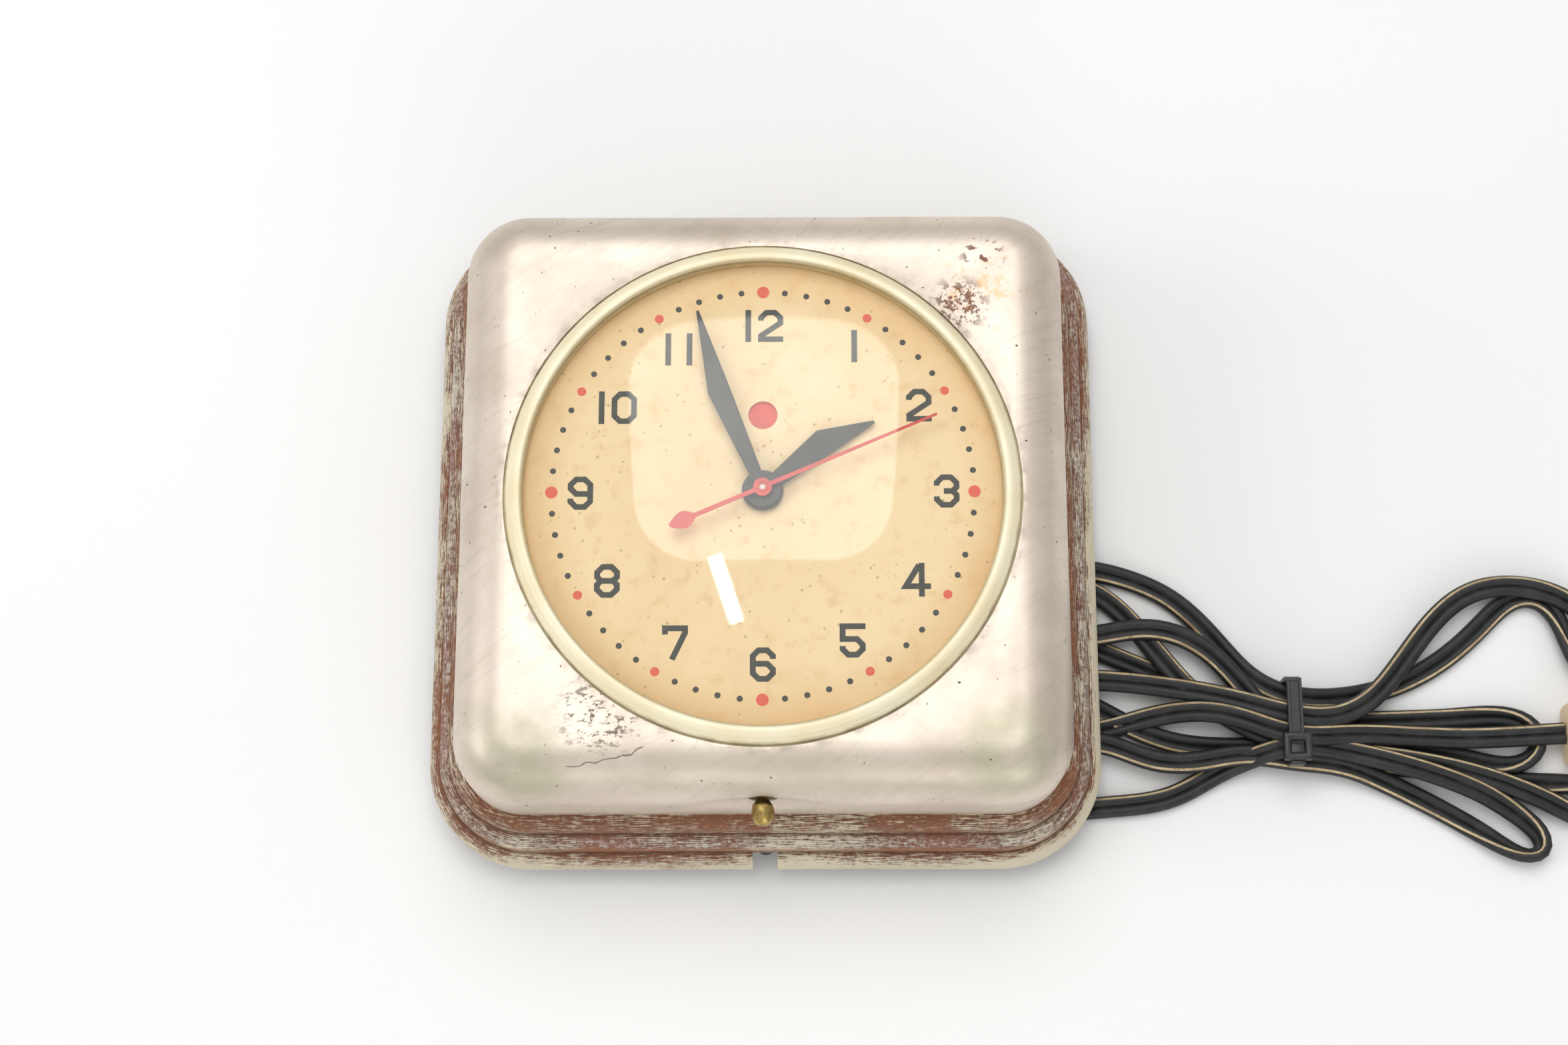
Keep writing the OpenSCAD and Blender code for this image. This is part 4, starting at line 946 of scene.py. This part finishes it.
figure = {"halfWide": 2.38, "halfHigh": 3.45, "cut": 1.35, "stroke": 1.4,
          "places": {12: (0.1, 42.3), 1: (22.3, 37), 2: (37.9, 21.8), 3: (44.3, 0.1), 4: (36.9, -21.9),
                     5: (21.4, -36.7), 6: (0.1, -42.5), 7: (-20.8, -37.1), 8: (-37.2, -22), 9: (-44, -0.2),
                     10: (-35.5, 21.4), 11: (-20.6, 36.3)}}
w, h, c = figure["halfWide"], figure["halfHigh"], figure["cut"]
foot = figure["stroke"] / 2
topLeft, topRight = [(-w, h - c), (-w + c, h)], [(w - c, h), (w, h - c)]
footRight, footLeft = [(w, -h + c), (w - c, -h)], [(-w + c, -h), (-w, -h + c)]
digitStrokes = {  # centre lines in mm; True closes a line on itself
    "0": [(True, [(-w, -h + c), *topLeft, *topRight, *footRight, (-w + c, -h)])],
    "1": [(False, [(0, -h - foot), (0, h + foot)])],
    "2": [(False, [(-w, h - 2.1), *topLeft, *topRight, (w, 0.7), (-w, -h + 0.9), (-w, -h), (w + foot, -h)])],
    "3": [(False, [(-w, h - 2.1), *topLeft, *topRight, (w, 0.95), (w - 0.95, 0), (w, -0.95), *footRight,
                   *footLeft, (-w, -h + 2.1)]),
          (False, [(-0.7, 0), (w - 0.5, 0)])],
    "4": [(False, [(1.1, -h - foot), (1.1, h + foot)]),
          (False, [(0.5, h + 0.2), (-w - 0.35, -1.6), (w + 0.9, -1.6)])],
    "5": [(False, [(w + foot, h), (-w, h), (-w, 0.35), (w - c, 0.35), (w, 0.35 - c), *footRight, *footLeft,
                   (-w, -h + 2.1)])],
    "6": [(False, [(w, h - 2.1), *reversed(topRight), *reversed(topLeft), *reversed(footLeft),
                   *reversed(footRight), (w, 0.2 - c), (w - c, 0.2), (-w + foot, 0.2)])],
    "7": [(False, [(-w, h - 1.5), (-w, h), (w, h), (w, h - 1.1), (-0.7, -h - foot)])],
    "8": [(True, [(-w + c, h), *topRight, (w, 0.95), (w - 0.95, 0), (-w + 0.95, 0), (-w, 0.95), (-w, h - c)]),
          (True, [(-w + 0.95, 0), (w - 0.95, 0), (w, -0.95), *footRight, *footLeft, (-w, -0.95)])]}
digitStrokes["9"] = [(False, [(-x, -y) for x, y in digitStrokes["6"][0][1]])]


def strokePiece(name, points, closed, width, at, ink):  # a mitred stroke of even width, printed on the dial
    shape = bmesh.new()
    pairs = []
    count = len(points)
    for number, point in enumerate(points):
        here = Vector(point)
        before = Vector(points[number - 1]) if number or closed else here * 2 - Vector(points[1])
        goesOn = number < count - 1 or closed
        after = Vector(points[(number + 1) % count]) if goesOn else here * 2 - Vector(points[-2])
        inWay = (here - before).normalized()
        outWay = (after - here).normalized()
        cross = Vector((-(inWay.y + outWay.y), inWay.x + outWay.x)).normalized()
        reach = width / 2 / max(cross.dot(Vector((-inWay.y, inWay.x))), 0.4)
        edges = [here + cross * side * reach + Vector(at) for side in (1, -1)]
        pairs.append([shape.verts.new(Vector((*edge, face["top"])) * mm) for edge in edges])
    runs = zip(pairs, pairs[1:] + pairs[:1]) if closed else zip(pairs, pairs[1:])
    for a, b in runs:
        shape.faces.new((a[0], a[1], b[1], b[0]))
    data = bpy.data.meshes.new(name)
    shape.to_mesh(data)
    shape.free()
    piece = bpy.data.objects.new(name, data)
    bpy.context.scene.collection.objects.link(piece)
    editAll(piece)
    climb(ink)
    heal()
    bpy.ops.object.mode_set(mode="OBJECT")
    return piece


strokes = []
for hour, (x, y) in figure["places"].items():
    digits = str(hour)
    shifts = {1: [0], 2: [-2.6, 2.6] if digits == "11" else [-3.75, 1.75]}[len(digits)]
    for digit, shiftBy in zip(digits, shifts):
        for layer, (closed, points) in enumerate(digitStrokes[digit]):
            ink = face["ink"] * (1 + layer / 3)
            strokes.append(strokePiece("stroke", points, closed, figure["stroke"], (x + shiftBy, y), ink))
numerals = joined("hourNumerals", *strokes)


def dotSet(name, minutes, radius, sides):
    first = drum("dot", radius, face["top"], face["top"] + face["ink"], sides=sides)
    dots = []
    for minute in minutes:
        angle = math.radians(6 * minute)
        dot = bpy.data.objects.new("dot", first.data.copy())
        spot = Vector((math.sin(angle), math.cos(angle), 0)) * face["dotRing"]
        dot.data.transform(Matrix.Translation(spot * mm))
        bpy.context.scene.collection.objects.link(dot)
        dots.append(dot)
    bpy.data.objects.remove(first)
    return joined(name, *dots)


blackDots = dotSet("minuteDots", [m for m in range(60) if m % 5], face["dots"]["minute"], 20)
blackInk = joined("blackDialPrint", numerals, blackDots)
close(blackInk, "root_case", "black_hand", material=blackPrint)
redInk = joined("redDialPrint", dotSet("quarterDots", (0, 15, 30, 45), face["dots"]["quarter"], 36),
                dotSet("fiveDots", [m for m in range(0, 60, 5) if m % 15], face["dots"]["five"], 28))
close(redInk, "root_case", "flag_red", material=redPrint)
print("clock: the dial is printed")

# the hands

hands = {"hour": {"turn": 57.5, "z": 57.8, "hub": 5, "hubSides": 64, "long": 32, "root": 1.5, "bulge": 5.6,
                  "at": 19, "bore": 2.3, "boreSides": 48, "edge": 0.13},
         "minute": {"turn": 340.5, "z": 59.2, "hub": 4.4, "hubSides": 64, "long": 48, "root": 1.3,
                    "bulge": 4.5, "at": 27, "bore": 1.5, "boreSides": 48, "edge": 0.13},
         "second": {"turn": 66.6, "z": 61.0, "hub": 2.2, "hubSides": 56, "long": 45.8, "tail": 24.3,
                    "bore": 0.7, "boreSides": 40, "edge": 0.1},
         "thick": 0.5}


def finishHand(hand, size):  # adds the hub, bores it, eases the edges and turns the hand to its time
    hub = drum("hub", size["hub"], size["z"], size["z"] + hands["thick"], sides=size["hubSides"])
    addModifier(hand, "BOOLEAN", operation="UNION", solver="EXACT", object=hub)
    bpy.data.objects.remove(hub)
    cutAway(hand, drum("bore", size["bore"], size["z"] - 1, size["z"] + 2, sides=size["boreSides"]))
    softEdges(hand, size["edge"], 0.7)
    shift(hand, (0, 0, 0), (-math.radians(size["turn"]), "Z"))


def bladeHand(name, size, node, body):
    outline = [(-size["root"], 0), (size["root"], 0), (size["root"] * 0.75, size["at"]), (0.35, size["long"]),
               (-0.35, size["long"]), (-size["bulge"], size["at"])]
    blade = sheetShape(name, outline, size["z"], hands["thick"])
    finishHand(blade, size)
    close(blade, body, "black_hand")
    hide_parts(node)


bladeHand("hourHand", hands["hour"], "hour_hand", "hour")
bladeHand("minuteHand", hands["minute"], "minute_hand", "minute")

size = hands["second"]
drop = [(0.5, 6.8), (1.2, 5.9), (1.9, 4.9), (2.12, 3.9), (1.85, 2.7), (1.15, 1.3), (0.3, 0.1)]
needle = [(0.5, 0), (0.26, size["long"]), (-0.26, size["long"]), (-0.5, 0)]
needle += [(-x, y - size["tail"]) for x, y in drop] + [(x, y - size["tail"]) for x, y in reversed(drop)]
secondBlade = sheetShape("secondHand", needle, size["z"], hands["thick"])
finishHand(secondBlade, size)
close(secondBlade, "second", "red_hand")
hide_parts("second_hand")

boss = {"low": 61.52, "high": 62.0, "radius": 1.35, "inner": 0.78, "slit": 0.16}
bossProfile = [(boss["inner"], boss["low"]), (boss["radius"], boss["low"]),
               (boss["radius"], boss["high"] - 0.15), (boss["radius"] - 0.15, boss["high"]),
               (boss["inner"], boss["high"]), (boss["inner"], boss["low"])]
handBoss = turned("secondBoss", bossProfile, 48)
cutAway(handBoss, block("bossSlit", (-3, -boss["slit"], 61.7), (3, boss["slit"], 63)))
shift(handBoss, (0, 0, 0), (-math.radians(size["turn"] + 12), "Z"))
close(handBoss, "second", "red_hand")
print("clock: the hands are cut")

# setting knob, bumper and the back

knob = {"start": -72.45, "z": 47.0278, "bore": 1.02}
knobProfile = [(knob["bore"], 0), (1.7, 0), (1.75, 0.9), (2.2, 1.5), (2.75, 2.1), (2.98, 3.0), (3.0, 4.0),
               (2.85, 5.0), (2.5, 5.9), (1.9, 6.6), (1.1, 6.95), (0, 7.0)]
knobSocket = [(0, 4.0), (knob["bore"], 4.0), (knob["bore"], 0)]
brassKnob = turned("brassKnob", knobProfile + knobSocket, 40)
editAll(brassKnob)
bpy.ops.mesh.subdivide(number_cuts=1)
bpy.ops.object.mode_set(mode="OBJECT")
for vertex in brassKnob.data.vertices:  # cast lumps and two worn flats
    spot = vertex.co / mm
    if spot.xy.length > 1.2:
        lump = 0.28 * noise.noise(spot * 0.55) - 0.2 * max(0, abs(spot.x) - 2.1)
        vertex.co += Vector((spot.x, spot.y, 0)).normalized() * (lump - 0.12) * mm
shift(brassKnob, (0, knob["start"], knob["z"]), (math.pi / 2, "X"))
close(brassKnob, "setting", "knob_brass", 60)
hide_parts("set_knob")

bumper = {"y": -77.6, "radius": 2.4, "high": 8, "stem": 21.6}
wide = bumper["radius"]
bumperProfile = [(0, 0), (wide - 0.5, 0), (wide - 0.1, 0.35), (wide, 0.8), (wide, 7.1), (wide - 0.35, 7.75),
                 (1.2, bumper["high"]), (1.2, bumper["stem"]), (0, bumper["stem"])]
rubberFoot = turned("rubberBumper", bumperProfile, 40)
shift(rubberFoot, (0, bumper["y"], 0))
close(rubberFoot, "root_case", "black_rubber")
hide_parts("wall_bumper")

cup = {"radius": 45, "exitTurn": -13, "exitZ": 12, "exitR": 3.6, "grooves": 16,
       "screwAt": 33.5, "screwR": 1.6}
cupProfile = [(0, 0.9), (12, 0.9), (12.6, 0.2), (13.4, 0.0), (34, 0.0), (41.5, 0.0), (43.2, 0.45),
              (44.4, 1.4), (45, 3.0), (45, 27.4), (45.3, 28.6), (46.2, 29.2), (49.5, 29.2), (49.5, 30.1),
              (45.6, 30.1), (44.5, 29.2), (44.1, 27.4), (44.1, 3.2), (43.4, 1.9), (42.0, 0.95),
              (14, 0.95), (12.8, 1.8), (0, 1.8)]
backCup = turned("backCup", cupProfile, 128)
slots = []
for number in range(cup["grooves"]):
    slot = block("coolingGroove", (19, -1.1, -0.3), (30, 1.1, 0.45))
    addModifier(slot, "BEVEL", width=0.9 * mm, segments=3)
    shift(slot, (0, 0, 0), (2 * math.pi * number / cup["grooves"], "Z"))
    slots.append(slot)
exitHole = drum("exitHole", cup["exitR"], -4, 5, sides=40)
shift(exitHole, (0, 0, 0), (math.pi / 2, "Y"))
shift(exitHole, (cup["radius"], 0, cup["exitZ"]))
shift(exitHole, (0, 0, 0), (math.radians(cup["exitTurn"]), "Z"))
cutAway(backCup, exitHole, *slots)
screwSpots = [(x * cup["screwAt"], y * cup["screwAt"]) for x in (-1, 1) for y in (-1, 1)]
cutAway(backCup, *[drum("screwHole", cup["screwR"], 28, 32, spot, 24) for spot in screwSpots])
softEdges(backCup, 0.15)
close(backCup, "root_case", "back_paint", 40)
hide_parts("back_cover")
print("clock: knob, bumper and back cover are on")


print("clock: done")
